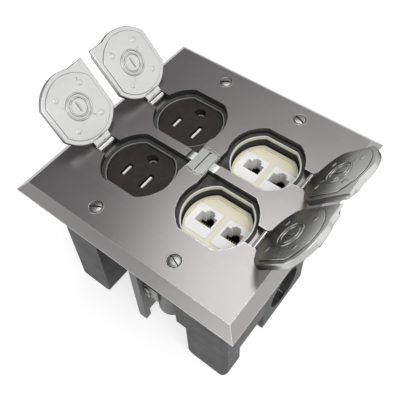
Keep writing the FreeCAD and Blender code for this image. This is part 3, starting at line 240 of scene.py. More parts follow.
# Half lengths of the area that holds the wells and hinge recesses, in metres
WELLS_REACH = {"X": 0.0535, "Y": 0.047}


def well_wall_shade_group():
    """Mask of the walls of the wells and hinge recesses, which the brushing doesn't reach; they are left
    rougher and darkened with painted shade.
    """
    tree, _, leave = new_group("Painted shade on the walls of the wells", [], ["Mask"])
    facing = add_node(tree, "ShaderNodeSeparateXYZ")
    tree.links.new(add_node(tree, "ShaderNodeNewGeometry").outputs["Normal"], facing.inputs[0])
    steep = spread(tree, facing.outputs["Z"], 0.55, 0.35)
    place = add_node(tree, "ShaderNodeSeparateXYZ")
    tree.links.new(add_node(tree, "ShaderNodeTexCoord").outputs["Object"], place.inputs[0])
    for axis, reach in WELLS_REACH.items():
        across = math_node(tree, "ABSOLUTE", place.outputs[axis])
        steep = math_node(tree, "MULTIPLY", steep, math_node(tree, "LESS_THAN", across, reach))
    tree.links.new(steep, leave.inputs["Mask"])
    return tree


GROUPS = {"brushed": brush_group(), "cast": cast_group(), "moulded": moulded_group()}
EDGE_WEAR_AND_HIGHLIGHT = wear_and_highlight_group()
DUST = dust_group()
WELL_WALL_SHADE = well_wall_shade_group()
CORNER_SHADE = corner_shade_group()


def place_group(tree, group, **values):
    node = add_node(tree, "ShaderNodeGroup")
    node.node_tree = group
    for label, value in values.items():
        node.inputs[label.replace("_", " ")].default_value = value
    return node


def mix_color(tree, mask, first, second):
    """Mixes two colours, given as values or sockets, by a mask."""
    node = add_node(tree, "ShaderNodeMix", data_type="RGBA")
    for index, value in ((6, first), (7, second)):
        if isinstance(value, tuple):
            node.inputs[index].default_value = value + (1,)
        else:
            tree.links.new(value, node.inputs[index])
    tree.links.new(mask, node.inputs[0])
    return node.outputs[2]


SIZE_LABELS = {"brushed": "Fineness", "cast": "Coarseness", "moulded": "Grain"}
DUST_COLOR = (0.55, 0.53, 0.5)
WORN_SMOOTHER = 0.1
WELLS_ROUGHER = 0.2


def finish(name, color, skin, metallic, roughness, size=1.0, swing=0.12, rough_swing=0.08,
           bump=0.15, depth=0.05, wear_and_highlight=None, edge_reach=0.3, dust=0.0, specular=0.5, grazing=1.0,
           corners=None, wall_shade=None):
    """Material whose skin group gives its tone and relief.

    swing and rough_swing spread the tone and the roughness; depth and the reach of the edge colour are in
    millimetres.
    The edge colour is rubbed wear and, on the plate, a painted highlight; the corner colour is painted shade
    in tight corners; the wall colour is painted shade on the walls of the wells.
    """
    material = bpy.data.materials.new(name)
    material.use_nodes = True
    tree = material.node_tree
    shader = tree.nodes["Principled BSDF"]
    shader.inputs["Metallic"].default_value = metallic
    shader.inputs["Specular IOR Level"].default_value = specular
    shader.inputs["Specular Tint"].default_value = (grazing, grazing, grazing, 1)
    texture = place_group(tree, GROUPS[skin], **{SIZE_LABELS[skin]: size})
    dark = tuple(c * (1 - swing) for c in color)
    light = tuple(min(1.0, c * (1 + swing)) for c in color)
    tint = mix_color(tree, texture.outputs["Tone"], dark, light)
    rough = add_node(tree, "ShaderNodeMapRange")
    rough.inputs["To Min"].default_value = roughness - rough_swing
    rough.inputs["To Max"].default_value = roughness + rough_swing
    tree.links.new(texture.outputs["Tone"], rough.inputs["Value"])
    rough_out = rough.outputs["Result"]
    # Edge colour: rubbed wear, and on the plate a painted highlight along the edges
    if wear_and_highlight:
        edge = place_group(tree, EDGE_WEAR_AND_HIGHLIGHT, Reach=edge_reach * MM).outputs["Mask"]
        tint = mix_color(tree, edge, tint, wear_and_highlight)
        rough_out = math_node(tree, "SUBTRACT", rough_out, math_node(tree, "MULTIPLY", edge, WORN_SMOOTHER))
    # Painted shade in tight inner corners, in the corners colour
    if corners:
        tint = mix_color(tree, place_group(tree, CORNER_SHADE).outputs["Mask"], tint, corners)
    # Painted shade on the walls of the wells, which are also left rougher
    if wall_shade:
        walls = place_group(tree, WELL_WALL_SHADE).outputs["Mask"]
        tint = mix_color(tree, walls, tint, wall_shade)
        rough_out = math_node(tree, "ADD", rough_out, math_node(tree, "MULTIPLY", walls, WELLS_ROUGHER))
    if dust:
        film = place_group(tree, DUST, Cover=dust)
        tint = mix_color(tree, film.outputs["Mask"], tint, DUST_COLOR)
    relief = add_node(tree, "ShaderNodeBump")
    relief.inputs["Strength"].default_value = bump
    relief.inputs["Distance"].default_value = depth * MM
    tree.links.new(texture.outputs["Height"], relief.inputs["Height"])
    tree.links.new(tint, shader.inputs["Base Color"])
    tree.links.new(rough_out, shader.inputs["Roughness"])
    tree.links.new(relief.outputs["Normal"], shader.inputs["Normal"])
    return material


# One finish for each slot of the record, and two copies of the bare rim in the wells: one lit with painted
# light, one darkened with painted shade
FINISHES = {
    # Plate: the light edge colour is partly rubbed wear and partly a painted highlight; the dark wall colour
    # is painted shade in the wells
    "brushed_plate": finish("Brushed satin plate", (0.292, 0.279, 0.28), "brushed", metallic=0.95,
                            roughness=0.3, swing=0.06, rough_swing=0.03, bump=0.02, depth=0.02,
                            wear_and_highlight=(0.9, 0.89, 0.88), edge_reach=0.45, dust=0.03,
                            wall_shade=(0.1, 0.103, 0.102)),
    # Lids, lock and screws: the corners colour is painted shade in tight corners
    "lid_metal": finish("Tumbled cast lid", (0.5, 0.5, 0.495), "cast", metallic=1.0, roughness=0.25,
                        swing=0.03, rough_swing=0.03, bump=0.04, depth=0.03, wear_and_highlight=(0.8, 0.8, 0.79),
                        grazing=0.05, corners=(0.1, 0.1, 0.1)),
    "lock_metal": finish("Tumbled cast lock", (0.44, 0.445, 0.435), "cast", metallic=1.0, roughness=0.33,
                         size=1.3, swing=0.05, rough_swing=0.05, bump=0.08, depth=0.04,
                         wear_and_highlight=(0.85, 0.85, 0.84), corners=(0.08, 0.08, 0.08)),
    # The bare rim in two copies: brightened with painted light, and darkened with painted shade
    "lit_rim_metal": finish("Bare rim with painted light", (0.66, 0.66, 0.62), "cast", metallic=0.7, roughness=0.45,
                        size=1.6, swing=0.06, rough_swing=0.05, bump=0.1, depth=0.03,
                        wear_and_highlight=(0.8, 0.8, 0.78), edge_reach=0.2),
    "shaded_rim_metal": finish("Bare rim with painted shade", (0.24, 0.24, 0.235), "cast", metallic=0.7, roughness=0.4,
                       size=1.6, swing=0.06, rough_swing=0.05, bump=0.1, depth=0.03,
                       wear_and_highlight=(0.5, 0.5, 0.49), edge_reach=0.2),
    "screw_steel": finish("Zinc plated screw", (0.33, 0.33, 0.325), "cast", metallic=1.0, roughness=0.3,
                          size=2.0, swing=0.08, rough_swing=0.06, bump=0.1, depth=0.02,
                          wear_and_highlight=(0.75, 0.75, 0.73), edge_reach=0.2, dust=0.05,
                          corners=(0.03, 0.03, 0.03)),
    "pin_steel": finish("Turned steel pin", (0.45, 0.45, 0.45), "brushed", metallic=1.0, roughness=0.35,
                        size=2.0),
    "spring_steel": finish("Spring steel", (0.32, 0.33, 0.36), "brushed", metallic=1.0, roughness=0.35,
                           size=2.0),
    "zinc_steel": finish("Zinc plated sheet", (0.27, 0.265, 0.26), "cast", metallic=1.0, roughness=0.42,
                         size=0.7, swing=0.14, rough_swing=0.1, bump=0.2, depth=0.03,
                         wear_and_highlight=(0.45, 0.45, 0.44)),
    "box_paint": finish("Grey paint on casting", (0.033, 0.033, 0.035), "cast", metallic=0.2, roughness=0.5,
                        size=0.8, bump=0.5, depth=0.1, wear_and_highlight=(0.2, 0.2, 0.2), edge_reach=0.5, dust=0.06,
                        specular=0.4),
    "partition_paint": finish("Grey paint on sheet", (0.17, 0.17, 0.175), "moulded", metallic=0.2,
                              roughness=0.5, size=0.6, swing=0.1, depth=0.03, wear_and_highlight=(0.35, 0.35, 0.35),
                              edge_reach=0.4, dust=0.06),
    "seal_rubber": finish("Black sealing rubber", (0.03, 0.03, 0.03), "moulded", metallic=0.0, roughness=0.7,
                          size=0.8),
    "gasket_rubber": finish("Grey gasket rubber", (0.034, 0.036, 0.035), "moulded", metallic=0.0,
                            roughness=0.68, size=0.7, swing=0.25, rough_swing=0.1, bump=0.4, depth=0.06,
                            wear_and_highlight=(0.09, 0.094, 0.09), edge_reach=0.4, dust=0.12, specular=0.3),
    "black_plastic": finish("Black moulded plastic", (0.017, 0.012, 0.012), "moulded", metallic=0.0,
                            roughness=0.45, size=0.8, swing=0.15, rough_swing=0.07, bump=0.2, depth=0.02,
                            wear_and_highlight=(0.04, 0.034, 0.034), edge_reach=0.25, dust=0.02, specular=0.3),
    "ivory_plastic": finish("Ivory moulded plastic", (0.84, 0.80, 0.62), "moulded", metallic=0.0,
                            roughness=0.38, size=0.8, swing=0.05, rough_swing=0.06, depth=0.02,
                            wear_and_highlight=(0.88, 0.85, 0.70)),
    "white_plastic": finish("White moulded plastic", (0.9, 0.9, 0.895), "moulded", metallic=0.0,
                            roughness=0.34, size=0.8, swing=0.03, rough_swing=0.06, bump=0.12, depth=0.02,
                            wear_and_highlight=(0.9, 0.9, 0.9)),
    "cap_plastic": finish("Pale grey moulded plastic", (0.48, 0.48, 0.46), "moulded", metallic=0.0,
                          roughness=0.42, size=0.8),
    "sleeve_plastic": finish("Grey sleeve plastic", (0.15, 0.15, 0.148), "moulded", metallic=0.0,
                             roughness=0.42, size=0.6, swing=0.08, bump=0.2, depth=0.03,
                             wear_and_highlight=(0.25, 0.25, 0.25), edge_reach=0.4, dust=0.08),
    "brass": finish("Plated brass strip", (0.88, 0.87, 0.84), "brushed", metallic=1.0, roughness=0.5,
                    size=1.6, swing=0.06, rough_swing=0.06, bump=0.1, depth=0.02),
    "gold_contacts": finish("Gold plated wire", (0.83, 0.62, 0.25), "brushed", metallic=1.0, roughness=0.22,
                            size=2.0),
    "green_screw": finish("Green plated screw", (0.05, 0.24, 0.09), "cast", metallic=0.6, roughness=0.35,
                          size=2.0, swing=0.15, bump=0.2, depth=0.02, wear_and_highlight=(0.2, 0.35, 0.22),
                          edge_reach=0.2),
}


# Mesh helpers; lengths in millimetres until the mesh is scaled at the end
SMOOTH_LIMIT = math.radians(32)
JOIN_DISTANCE = 1e-5
CUTTER_TOP = 2


def mesh_object(name, mesh):
    thing = bpy.data.objects.new(name, mesh)
    bpy.context.scene.collection.objects.link(thing)
    return thing


def evaluated_mesh(thing):
    """Mesh of an object with its curve or modifiers worked out."""
    bpy.context.view_layer.update()
    return bpy.data.meshes.new_from_object(thing.evaluated_get(bpy.context.evaluated_depsgraph_get()))


def shade(mesh):
    """Smooth faces with creases where two faces meet at more than the limit."""
    work = bmesh.new()
    work.from_mesh(mesh)
    bmesh.ops.remove_doubles(work, verts=work.verts, dist=JOIN_DISTANCE)
    for face in work.faces:
        face.smooth = True
    for edge in work.edges:
        edge.smooth = len(edge.link_faces) == 2 and edge.calc_face_angle(0.0) < SMOOTH_LIMIT
    work.to_mesh(mesh)
    work.free()


def slab(outlines, low, high, edge, segments=3):
    """Flat plate over closed outlines, a list of point lists, with rounded edges."""
    curve = bpy.data.curves.new("outline", "CURVE")
    curve.dimensions = "2D"
    curve.fill_mode = "BOTH"
    for points in outlines:
        spline = curve.splines.new("POLY")
        spline.points.add(len(points) - 1)
        for point, (x, y) in zip(spline.points, points):
            point.co = (x, y, 0, 1)
        spline.use_cyclic_u = True
    curve.offset = -edge
    curve.extrude = (high - low) / 2 - edge
    curve.bevel_depth = edge
    curve.bevel_resolution = segments
    carrier = bpy.data.objects.new("outline", curve)
    bpy.context.scene.collection.objects.link(carrier)
    mesh = evaluated_mesh(carrier)
    bpy.data.objects.remove(carrier)
    bpy.data.curves.remove(curve)
    mesh.transform(Matrix.Translation((0, 0, (low + high) / 2)))
    return mesh


def spun(profile, segments):
    """Solid of revolution about z from (radius, height) points."""
    work = bmesh.new()
    rings = []
    for radius, height in profile:
        if radius < 1e-6:
            rings.append([work.verts.new((0, 0, height))])
            continue
        ring = []
        for step in range(segments):
            angle = 2 * math.pi * step / segments
            ring.append(work.verts.new((radius * math.cos(angle), radius * math.sin(angle), height)))
        rings.append(ring)
    for lower, upper in zip(rings, rings[1:]):
        for step in range(segments):
            after = (step + 1) % segments
            corners = [lower[step % len(lower)], lower[after % len(lower)],
                       upper[after % len(upper)], upper[step % len(upper)]]
            distinct = []
            for corner in corners:
                if corner not in distinct:
                    distinct.append(corner)
            if len(distinct) > 2:
                work.faces.new(distinct)
    bmesh.ops.recalc_face_normals(work, faces=work.faces)
    mesh = bpy.data.meshes.new("spun")
    work.to_mesh(mesh)
    work.free()
    return mesh


def brick(x, y, z):
    """Plain block used only as a cutter."""
    work = bmesh.new()
    corners = [work.verts.new((px, py, pz)) for pz in z for py in y for px in x]
    for ids in ((0, 1, 3, 2), (4, 6, 7, 5), (0, 4, 5, 1), (2, 3, 7, 6), (0, 2, 6, 4), (1, 5, 7, 3)):
        work.faces.new([corners[i] for i in ids])
    bmesh.ops.recalc_face_normals(work, faces=work.faces)
    mesh = bpy.data.meshes.new("brick")
    work.to_mesh(mesh)
    work.free()
    return mesh


def carved(mesh, cutters, operation="DIFFERENCE"):
    """The mesh with the cutter meshes taken away, or what it shares with them."""
    thing = mesh_object("carved", mesh)
    tools = []
    for cutter in cutters:
        tool = mesh_object("cutter", cutter)
        step = thing.modifiers.new("cut", "BOOLEAN")
        step.operation = operation
        step.solver = "EXACT"
        step.object = tool
        tools.append(tool)
    result = evaluated_mesh(thing)
    for item in tools + [thing]:
        bpy.data.objects.remove(item)
    return result


def joined(meshes):
    work = bmesh.new()
    for mesh in meshes:
        work.from_mesh(mesh)
    result = bpy.data.meshes.new("joined")
    work.to_mesh(result)
    work.free()
    return result


def moved(mesh, matrix):
    mesh.transform(matrix)
    if matrix.determinant() < 0:
        mesh.flip_normals()
    return mesh


def finished_piece(name, mesh, slot, body, replaced=(), look=None):
    """Scales a mesh to metres, gives it its finish and hangs it on its body."""
    mesh.transform(Matrix.Scale(MM, 4))
    shade(mesh)
    mesh.materials.clear()
    mesh.materials.append(FINISHES[look or slot])
    for face in mesh.polygons:
        face.material_index = 0
    piece = mesh_object(name, mesh)
    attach(piece, body)
    if replaced:
        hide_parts(*replaced)
    return piece


def arc(cx, cy, radius, start, end, steps):
    """Points on a circle from one angle to the other, in degrees."""
    points = []
    for step in range(steps + 1):
        angle = math.radians(start + (end - start) * step / steps)
        points.append((cx + radius * math.cos(angle), cy + radius * math.sin(angle)))
    return points


def polar(radius, angle):
    """Point at a radius and an angle in degrees."""
    turn = math.radians(angle)
    return radius * math.cos(turn), radius * math.sin(turn)


def flatted_outline(radius, flat):
    """Circle with a flat at each end of the y axis."""
    corner = math.degrees(math.asin(flat / radius))
    return arc(0, 0, radius, -corner, corner, 20) + arc(0, 0, radius, 180 - corner, 180 + corner, 20)


# Lids, measured closed about the middle of the well, with their top face at height 0
LID_RADIUS = 19.0
LID_FLAT = 16.6
LID_INNER = -3.2
LID_EDGE = 0.55
TAB_CORNER = 17.8
TAB_ROOT = 7.4
LOCK_RELIEF_RADIUS = 9.15
LOCK_RELIEF_INNER = -1.8
PAD_RADIUS = 16.7
PAD_FLAT = 14.3
PAD_FACE = -3.6
PAD_ROOT = LID_INNER + 1
PAD_EDGE = 0.25
NECK_START = 17
NECK_END = 20.8
NECK_HALF = 5.1
NECK_TOP = -0.05
NECK_EDGE = 0.3
WEB_START = 20
WEB_INNER = -2.1
BARREL_RADIUS = 1.75
BARREL_CHAMFER = 0.3

# Low relief of the inner face; a rib has the angle that it lies at, its near end and its far end
RING_RADII = (6.6, 4.7)
RING_WIDTH = 0.85
RING_HEIGHT = 0.38
DOME_ANGLES = (41, 139, 221, 319)
DOME_CIRCLE = 12.0
DOME_RADIUS = 1.45
DOME_HEIGHT = 0.22
NECK_DOME_PLACE = (-20.0, 0.6)
NECK_DOME_RADIUS = 0.78
NECK_DOME_HEIGHT = 0.25
BAR_HALF = 2.5
BAR_WIDTH = 0.5
BAR_HEIGHT = 0.36
RIBS = ((150, 7.6, 10.0), (35, 12.5, 14.2), (-60, 7.6, 9.2))
RIB_WIDTH = 0.35
RIB_HEIGHT = 0.15
RIB_ROUNDING = 0.6


def lid_outline():
    """Outline of a lid; +x points to the middle of the plate and so does +y."""
    root = math.degrees(math.asin(TAB_ROOT / LID_RADIUS))
    corner = math.degrees(math.asin(LID_FLAT / LID_RADIUS))
    points = arc(0, 0, LID_RADIUS, -corner, root, 18)
    points += [(TAB_CORNER, LID_FLAT)]
    points += arc(0, 0, LID_RADIUS, 180 - corner, 180 + corner, 28)
    return points


def ring_ridge(radius):
    """Low rounded ridge that hangs from the inner face."""
    profile = []
    for step in range(9):
        angle = math.pi * step / 8
        profile.append((radius - RING_WIDTH / 2 * math.cos(angle), PAD_FACE - RING_HEIGHT * math.sin(angle)))
    return spun(profile + [profile[0]], 64)


def low_dome(place, radius, face, height):
    """Low dome that hangs from a face."""
    profile = [(0, face - height)]
    for step in range(1, 7):
        angle = math.pi / 2 * step / 6
        profile.append((radius * math.sin(angle), face - height * math.cos(angle)))
    return moved(spun(profile, 32), Matrix.Translation((*place, 0)))


def rib(start, end, width, height):
    """Thin straight rib between two points of the inner face."""
    length = math.dist(start, end)
    half = width / 2
    outline = arc(0, 0, half, 90, 270, 6) + arc(length, 0, half, -90, 90, 6)
    mesh = slab([outline], PAD_FACE - height, PAD_FACE + height, min(half, height) * RIB_ROUNDING, 2)
    turn = math.atan2(end[1] - start[1], end[0] - start[0])
    return moved(mesh, Matrix.Translation((*start, 0)) @ Matrix.Rotation(turn, 4, "Z"))


def inner_relief():
    """Rings, domes, middle bar and short ribs on the inner face of a lid."""
    pieces = [ring_ridge(radius) for radius in RING_RADII]
    for angle in DOME_ANGLES:
        pieces.append(low_dome(polar(DOME_CIRCLE, angle), DOME_RADIUS, PAD_FACE, DOME_HEIGHT))
    pieces.append(low_dome(NECK_DOME_PLACE, NECK_DOME_RADIUS, LID_INNER, NECK_DOME_HEIGHT))
    pieces.append(rib((BAR_HALF, 0), (-BAR_HALF, 0), BAR_WIDTH, BAR_HEIGHT))
    for angle, near, far in RIBS:
        pieces.append(rib(polar(near, angle), polar(far, angle), RIB_WIDTH, RIB_HEIGHT))
    return pieces


def strap(near, far, inner):
    """Flat strap towards the hinge, between two distances from the middle of the well."""
    outline = [(-near, -NECK_HALF), (-near, NECK_HALF), (-far, NECK_HALF), (-far, -NECK_HALF)]
    return slab([outline], inner, NECK_TOP, NECK_EDGE)


def barrel_mesh():
    """Knuckle round the hinge pin, chamfered at both ends."""
    end_radius = BARREL_RADIUS - BARREL_CHAMFER
    shoulder = NECK_HALF - BARREL_CHAMFER
    profile = [(0, -NECK_HALF), (end_radius, -NECK_HALF), (BARREL_RADIUS, -shoulder),
               (BARREL_RADIUS, shoulder), (end_radius, NECK_HALF), (0, NECK_HALF)]
    place = Matrix.Translation((-HINGE_REACH, 0, -HINGE_DROP))
    return moved(spun(profile, 40), place @ Matrix.Rotation(math.pi / 2, 4, "X"))


def lid_mesh():
    """Closed lid about the middle of its well, hinge towards -x."""
    leaf = slab([lid_outline()], LID_INNER, 0, LID_EDGE, 4)
    relief = spun([(0, CUTTER_TOP), (LOCK_RELIEF_RADIUS, CUTTER_TOP),
                   (LOCK_RELIEF_RADIUS, LOCK_RELIEF_INNER), (0, LOCK_RELIEF_INNER)], 96)
    leaf = carved(leaf, [moved(relief, Matrix.Translation((GANG_X, OUTLET_Y, 0)))])
    pad = slab([flatted_outline(PAD_RADIUS, PAD_FLAT)], PAD_FACE, PAD_ROOT, PAD_EDGE)
    neck = strap(NECK_START, NECK_END, LID_INNER)
    web = strap(WEB_START, HINGE_REACH, WEB_INNER)
    return joined([leaf, pad, neck, web, barrel_mesh()] + inner_relief())


def add_lids():
    for sx, sy, name in QUARTERS:
        mesh = moved(lid_mesh(), Matrix.Diagonal((-sx, -sy, 1, 1)))
        mesh.transform(Matrix.Translation((sx * GANG_X, sy * OUTLET_Y, PLATE_TOP)))
        hinge = Vector((sx * (GANG_X + HINGE_REACH), sy * OUTLET_Y, PLATE_TOP - HINGE_DROP))
        swing = Matrix.Rotation(math.radians(sx * OPEN_ANGLE), 4, "Y")
        mesh.transform(Matrix.Translation(hinge) @ swing @ Matrix.Translation(-hinge))
        finished_piece("cast_lid_" + name, mesh, "lid_metal", "lid_" + name, ["lid_" + name])


# Cover screws: radius and height of shank, countersink and turned rim, then the crown and its slot
SCREW_X = 23.2
SCREW_Y = 50.2
SCREW_PROFILE = [(0, -18), (1.4, -18), (1.75, -17.6), (1.75, -2.15), (3.35, -0.42), (3.42, 0.02),
                 (3.85, 0.02), (3.9, 0.1), (3.82, 0.2), (3.45, 0.26), (3.3, 0.2), (3.22, -0.1),
                 (3.12, -0.1)]
CROWN_RADIUS = 3.05
CROWN_FOOT = 0.1
CROWN_HEIGHT = 0.45
SLOT_HALF_LENGTH = 2.9
SLOT_HALF_WIDTH = 0.45
SLOT_FLOOR = -0.6
SLOT_TURNS = {-1: 30, 1: -20}


def screw_mesh(turn):
    """Oval head slotted screw about its axis, with a turned rim; top of the plate at z 0."""
    profile = list(SCREW_PROFILE)
    for step in range(7):
        angle = math.pi / 2 * step / 6
        profile.append((CROWN_RADIUS * math.cos(angle), CROWN_FOOT + CROWN_HEIGHT * math.sin(angle)))
    head = spun(profile, 56)
    slot = brick((-SLOT_HALF_LENGTH, SLOT_HALF_LENGTH), (-SLOT_HALF_WIDTH, SLOT_HALF_WIDTH),
                 (SLOT_FLOOR, CUTTER_TOP))
    return carved(head, [moved(slot, Matrix.Rotation(math.radians(turn), 4, "Z"))])


def add_screws():
    meshes = []
    for side, turn in SLOT_TURNS.items():
        for end in (-1, 1):
            place = Matrix.Translation((side * SCREW_X, end * SCREW_Y, PLATE_TOP))
            meshes.append(moved(screw_mesh(turn), place))
    finished_piece("oval_head_screws", joined(meshes), "screw_steel", "box", ["cover_screws"])


# Painted shade deep in each jack port: a black sleeve with a floor; a bore has its half width and its reach
# along y
JACK_TOP = 76.9
PORT_OUTLINE = [(-4.45, -2.7), (4.45, -2.7), (4.45, 2.7), (2.3, 2.7), (2.3, 4.3), (1.35, 4.3), (1.35, 5.3),
                (-1.35, 5.3), (-1.35, 4.3), (-2.3, 4.3), (-2.3, 2.7), (-4.45, 2.7)]
PORT_SHADE_TOP = JACK_TOP - 7.5
PORT_SHADE_BOTTOM = JACK_TOP - 12.6
PORT_SHADE_FLOOR = 0.5
PORT_SHADE_EDGE = 0.05
PORT_SHADE_BORES = ((4.2, (-2.45, 2.45)), (1.1, (0, 5.05)), (2.05, (0, 4.05)))
DATA_BAR_X = 1.05
PORT_X = 7.5
PORT_Y = -0.65


def port_shade_mesh():
    """Black sleeve of painted shade inside the port, with a floor, open towards the plug."""
    tube = slab([PORT_OUTLINE], PORT_SHADE_BOTTOM, PORT_SHADE_TOP, PORT_SHADE_EDGE, 1)
    height = (PORT_SHADE_BOTTOM + PORT_SHADE_FLOOR, PORT_SHADE_TOP + 1)
    return carved(tube, [brick((-half, half), reach, height) for half, reach in PORT_SHADE_BORES])


def add_jack_port_shades():
    for sy, end in ((-1, "front"), (1, "back")):
        for side, hand in ((-1, "left"), (1, "right")):
            place = (GANG_X + DATA_BAR_X + side * PORT_X, sy * OUTLET_Y + PORT_Y, 0)
            mesh = moved(port_shade_mesh(), Matrix.Translation(place))
            finished_piece("jack_port_shade_" + end + "_" + hand, mesh, "black_plastic", "box")


# Bare rim that the gasket leaves free round each well, as radius and half length to its flat
LIP_OUTER = (17.62, 15.2)
LIP_INNER = (16.9, 14.4)
LIP_TOP = PLATE_TOP - 3.85
LIP_BOTTOM = PLATE_TOP - 5.9
LIP_EDGE = 0.12


def add_well_rims():
    for sx, sy, name in QUARTERS:
        ring = slab([flatted_outline(*LIP_OUTER), flatted_outline(*LIP_INNER)], LIP_BOTTOM, LIP_TOP, LIP_EDGE)
        place = Matrix.Translation((sx * GANG_X, sy * OUTLET_Y, 0))
        # Right rims take the copy lit with painted light, left rims the copy darkened with painted shade
        finished_piece("bare_rim_" + name, moved(ring, place), "lid_metal", "box",
                       look="lit_rim_metal" if sx > 0 else "shaded_rim_metal")


# Faces cut from the frame's own solids, with the small forms that the frame leaves out
WELD_DISTANCE = 2e-6


def copied(node):
    """Welded copy of a frame node's mesh in millimetres."""
    work = bmesh.new()
    work.from_mesh(frame["nodes"][node].data)
    bmesh.ops.remove_doubles(work, verts=work.verts, dist=WELD_DISTANCE)
    bmesh.ops.recalc_face_normals(work, faces=work.faces)
    mesh = bpy.data.meshes.new(node + "_copy")
    work.to_mesh(mesh)
    work.free()
    mesh.transform(Matrix.Scale(1 / MM, 4))
    return mesh


# Lock disc: radii of its turned line, and the reach, start, depth and tilt of a ramp on either side
LOCK_LINE_INNER = 7.75
LOCK_LINE_OUTER = 8.05
LOCK_LINE_DEPTH = 0.16
LOCK_RAMPS = (((-6, 0), -4.6, 0.38, 5), ((0, 6), 4.6, 0.3, 1))
RAMP_HALF_WIDTH = 10
RAMP_HEIGHT = 3
LOCK_EDGE = 0.12


def lock_ramp(reach, start, depth, tilt):
    """Cutter whose tilted floor slopes the top of the disc away from its slot."""
    place = Matrix.Translation((start, 0, PLATE_TOP - depth)) @ Matrix.Rotation(math.radians(tilt), 4, "Y")
    return moved(brick(reach, (-RAMP_HALF_WIDTH, RAMP_HALF_WIDTH), (0, RAMP_HEIGHT)), place)


def add_lock_face():
    """Coin turned disc with a fine turned line inside its rim and a ramp on either side."""
    floor = PLATE_TOP - LOCK_LINE_DEPTH
    line = spun([(LOCK_LINE_INNER, floor), (LOCK_LINE_OUTER, floor), (LOCK_LINE_OUTER, PLATE_TOP + 1),
                 (LOCK_LINE_INNER, PLATE_TOP + 1), (LOCK_LINE_INNER, floor)], 96)
    disc = carved(copied("lock_disc"), [line] + [lock_ramp(*ramp) for ramp in LOCK_RAMPS])
    piece = finished_piece("turned_lock_disc", disc, "lock_metal", "lock", ["lock_disc"])
    soften_edges(piece, LOCK_EDGE)


# Outlet front: gap round each face, then the lead-ins of its ground hole and blade slots
FACE_GAP = 0.55
GAP_OUTER = (17.6, 15.1)
GAP_INNER = (LIP_INNER[0] - FACE_GAP, LIP_INNER[1] - FACE_GAP)
GAP_TOP = PLATE_TOP - 3
GAP_BOTTOM = PLATE_TOP - 8.5
GAP_EDGE = 0.02
GROUND_Y = 8.3
GROUND_RADIUS = 3.0
GROUND_FLAT = -2.0
GROUND_DEPTH = 9
GROUND_BLOCK = 4
BLADE_X = 6.35
BLADE_Y = -3.6
BLADE_REACH = {-1: 3.2, 1: 4.1}
BLADE_LEAD = 0.5
BLADE_HALF_WIDTH = 1.35
BLADE_DEPTH = 7.5
FRONT_EDGE = 0.2


def ground_lead():
    """Cutter for the round lead-in of a ground hole, flat on one side."""
    foot = PLATE_TOP - GROUND_DEPTH
    lead = spun([(0, foot), (GROUND_RADIUS, foot), (GROUND_RADIUS, PLATE_TOP), (0, PLATE_TOP)], 40)
    kept = brick((-GROUND_BLOCK, GROUND_BLOCK), (GROUND_FLAT, GROUND_BLOCK), (foot - 1, PLATE_TOP + 1))
    return carved(lead, [kept], "INTERSECT")


def add_outlet_front():
    """Outlet front with a gap round its two raised faces and lead-ins at its holes and slots."""
    cutters = []
    for sy in (-1, 1):
        gap = slab([flatted_outline(*GAP_OUTER), flatted_outline(*GAP_INNER)],
                   GAP_BOTTOM, GAP_TOP, GAP_EDGE, 1)
        cutters.append(moved(gap, Matrix.Translation((-GANG_X, sy * OUTLET_Y, 0))))
        cutters.append(moved(ground_lead(), Matrix.Translation((-GANG_X, sy * OUTLET_Y + GROUND_Y, 0))))
        for side, reach in BLADE_REACH.items():
            x = -GANG_X + side * BLADE_X
            y = sy * OUTLET_Y + BLADE_Y
            half = reach + BLADE_LEAD
            cutters.append(brick((x - BLADE_HALF_WIDTH, x + BLADE_HALF_WIDTH), (y - half, y + half),
                                 (PLATE_TOP - BLADE_DEPTH, PLATE_TOP)))
    front = carved(copied("outlet_face"), cutters)
    piece = finished_piece("outlet_front", front, "black_plastic", "box", ["outlet_face"])
    soften_edges(piece, FRONT_EDGE)


# CAD nodes that stay get their finish and softly broken edges, widths in millimetres
SOFT_EDGES = {
    "cover_plate": 0.2, "box_ring": 0.5, "box_sides": 0.5, "conduit_blocks": 0.5, "box_legs": 0.5,
    "rail_lugs": 0.3, "data_frame": 0.25, "partition": 0.3, "cable_hub": 0.3, "cable_bracket": 0.2,
    "cable_saddle": 0.2, "device_rails": 0.3, "outlet_base": 0.4,
}
SMALL_EDGE_NAMES = ("data_jack", "lid_gasket", "jack_cap")
SMALL_EDGE = 0.1
CREASE = math.radians(30)


def soften_edges(node, width):
    """Rounds the sharp edges of a node, or creases them where it stays sharp."""
    weld = node.modifiers.new("weld", "WELD")
    weld.merge_threshold = WELD_DISTANCE
    if width:
        bevel = node.modifiers.new("soft edges", "BEVEL")
        bevel.width = width * MM
        bevel.segments = 2
        bevel.limit_method = "ANGLE"
        bevel.angle_limit = CREASE
        bevel.use_clamp_overlap = True
        bevel.face_strength_mode = "FSTR_AFFECTED"
        level = node.modifiers.new("level faces", "WEIGHTED_NORMAL")
        level.mode = "FACE_AREA_WITH_ANGLE"
        level.weight = 60
        level.use_face_influence = True
    else:
        crease = node.modifiers.new("creases", "EDGE_SPLIT")
        crease.split_angle = CREASE


# Nodes drawn darker than their slot's finish, as painted shade: the cable bracket takes the dark box paint
SHADE_LOOKS = {"cable_bracket": "box_paint"}


def dress_nodes():
    slots = {entry["node"]: entry["material_slot"] for entry in frame["record"]["subparts"]}
    # The bracket's dark look is painted shade
    slots.update(SHADE_LOOKS)
    for name, node in frame["nodes"].items():
        node.data.materials.clear()
        node.data.materials.append(FINISHES[slots[name]])
        for face in node.data.polygons:
            face.material_index = 0
            face.use_smooth = True
        small = SMALL_EDGE if name.startswith(SMALL_EDGE_NAMES) else 0
        soften_edges(node, SOFT_EDGES.get(name, small))


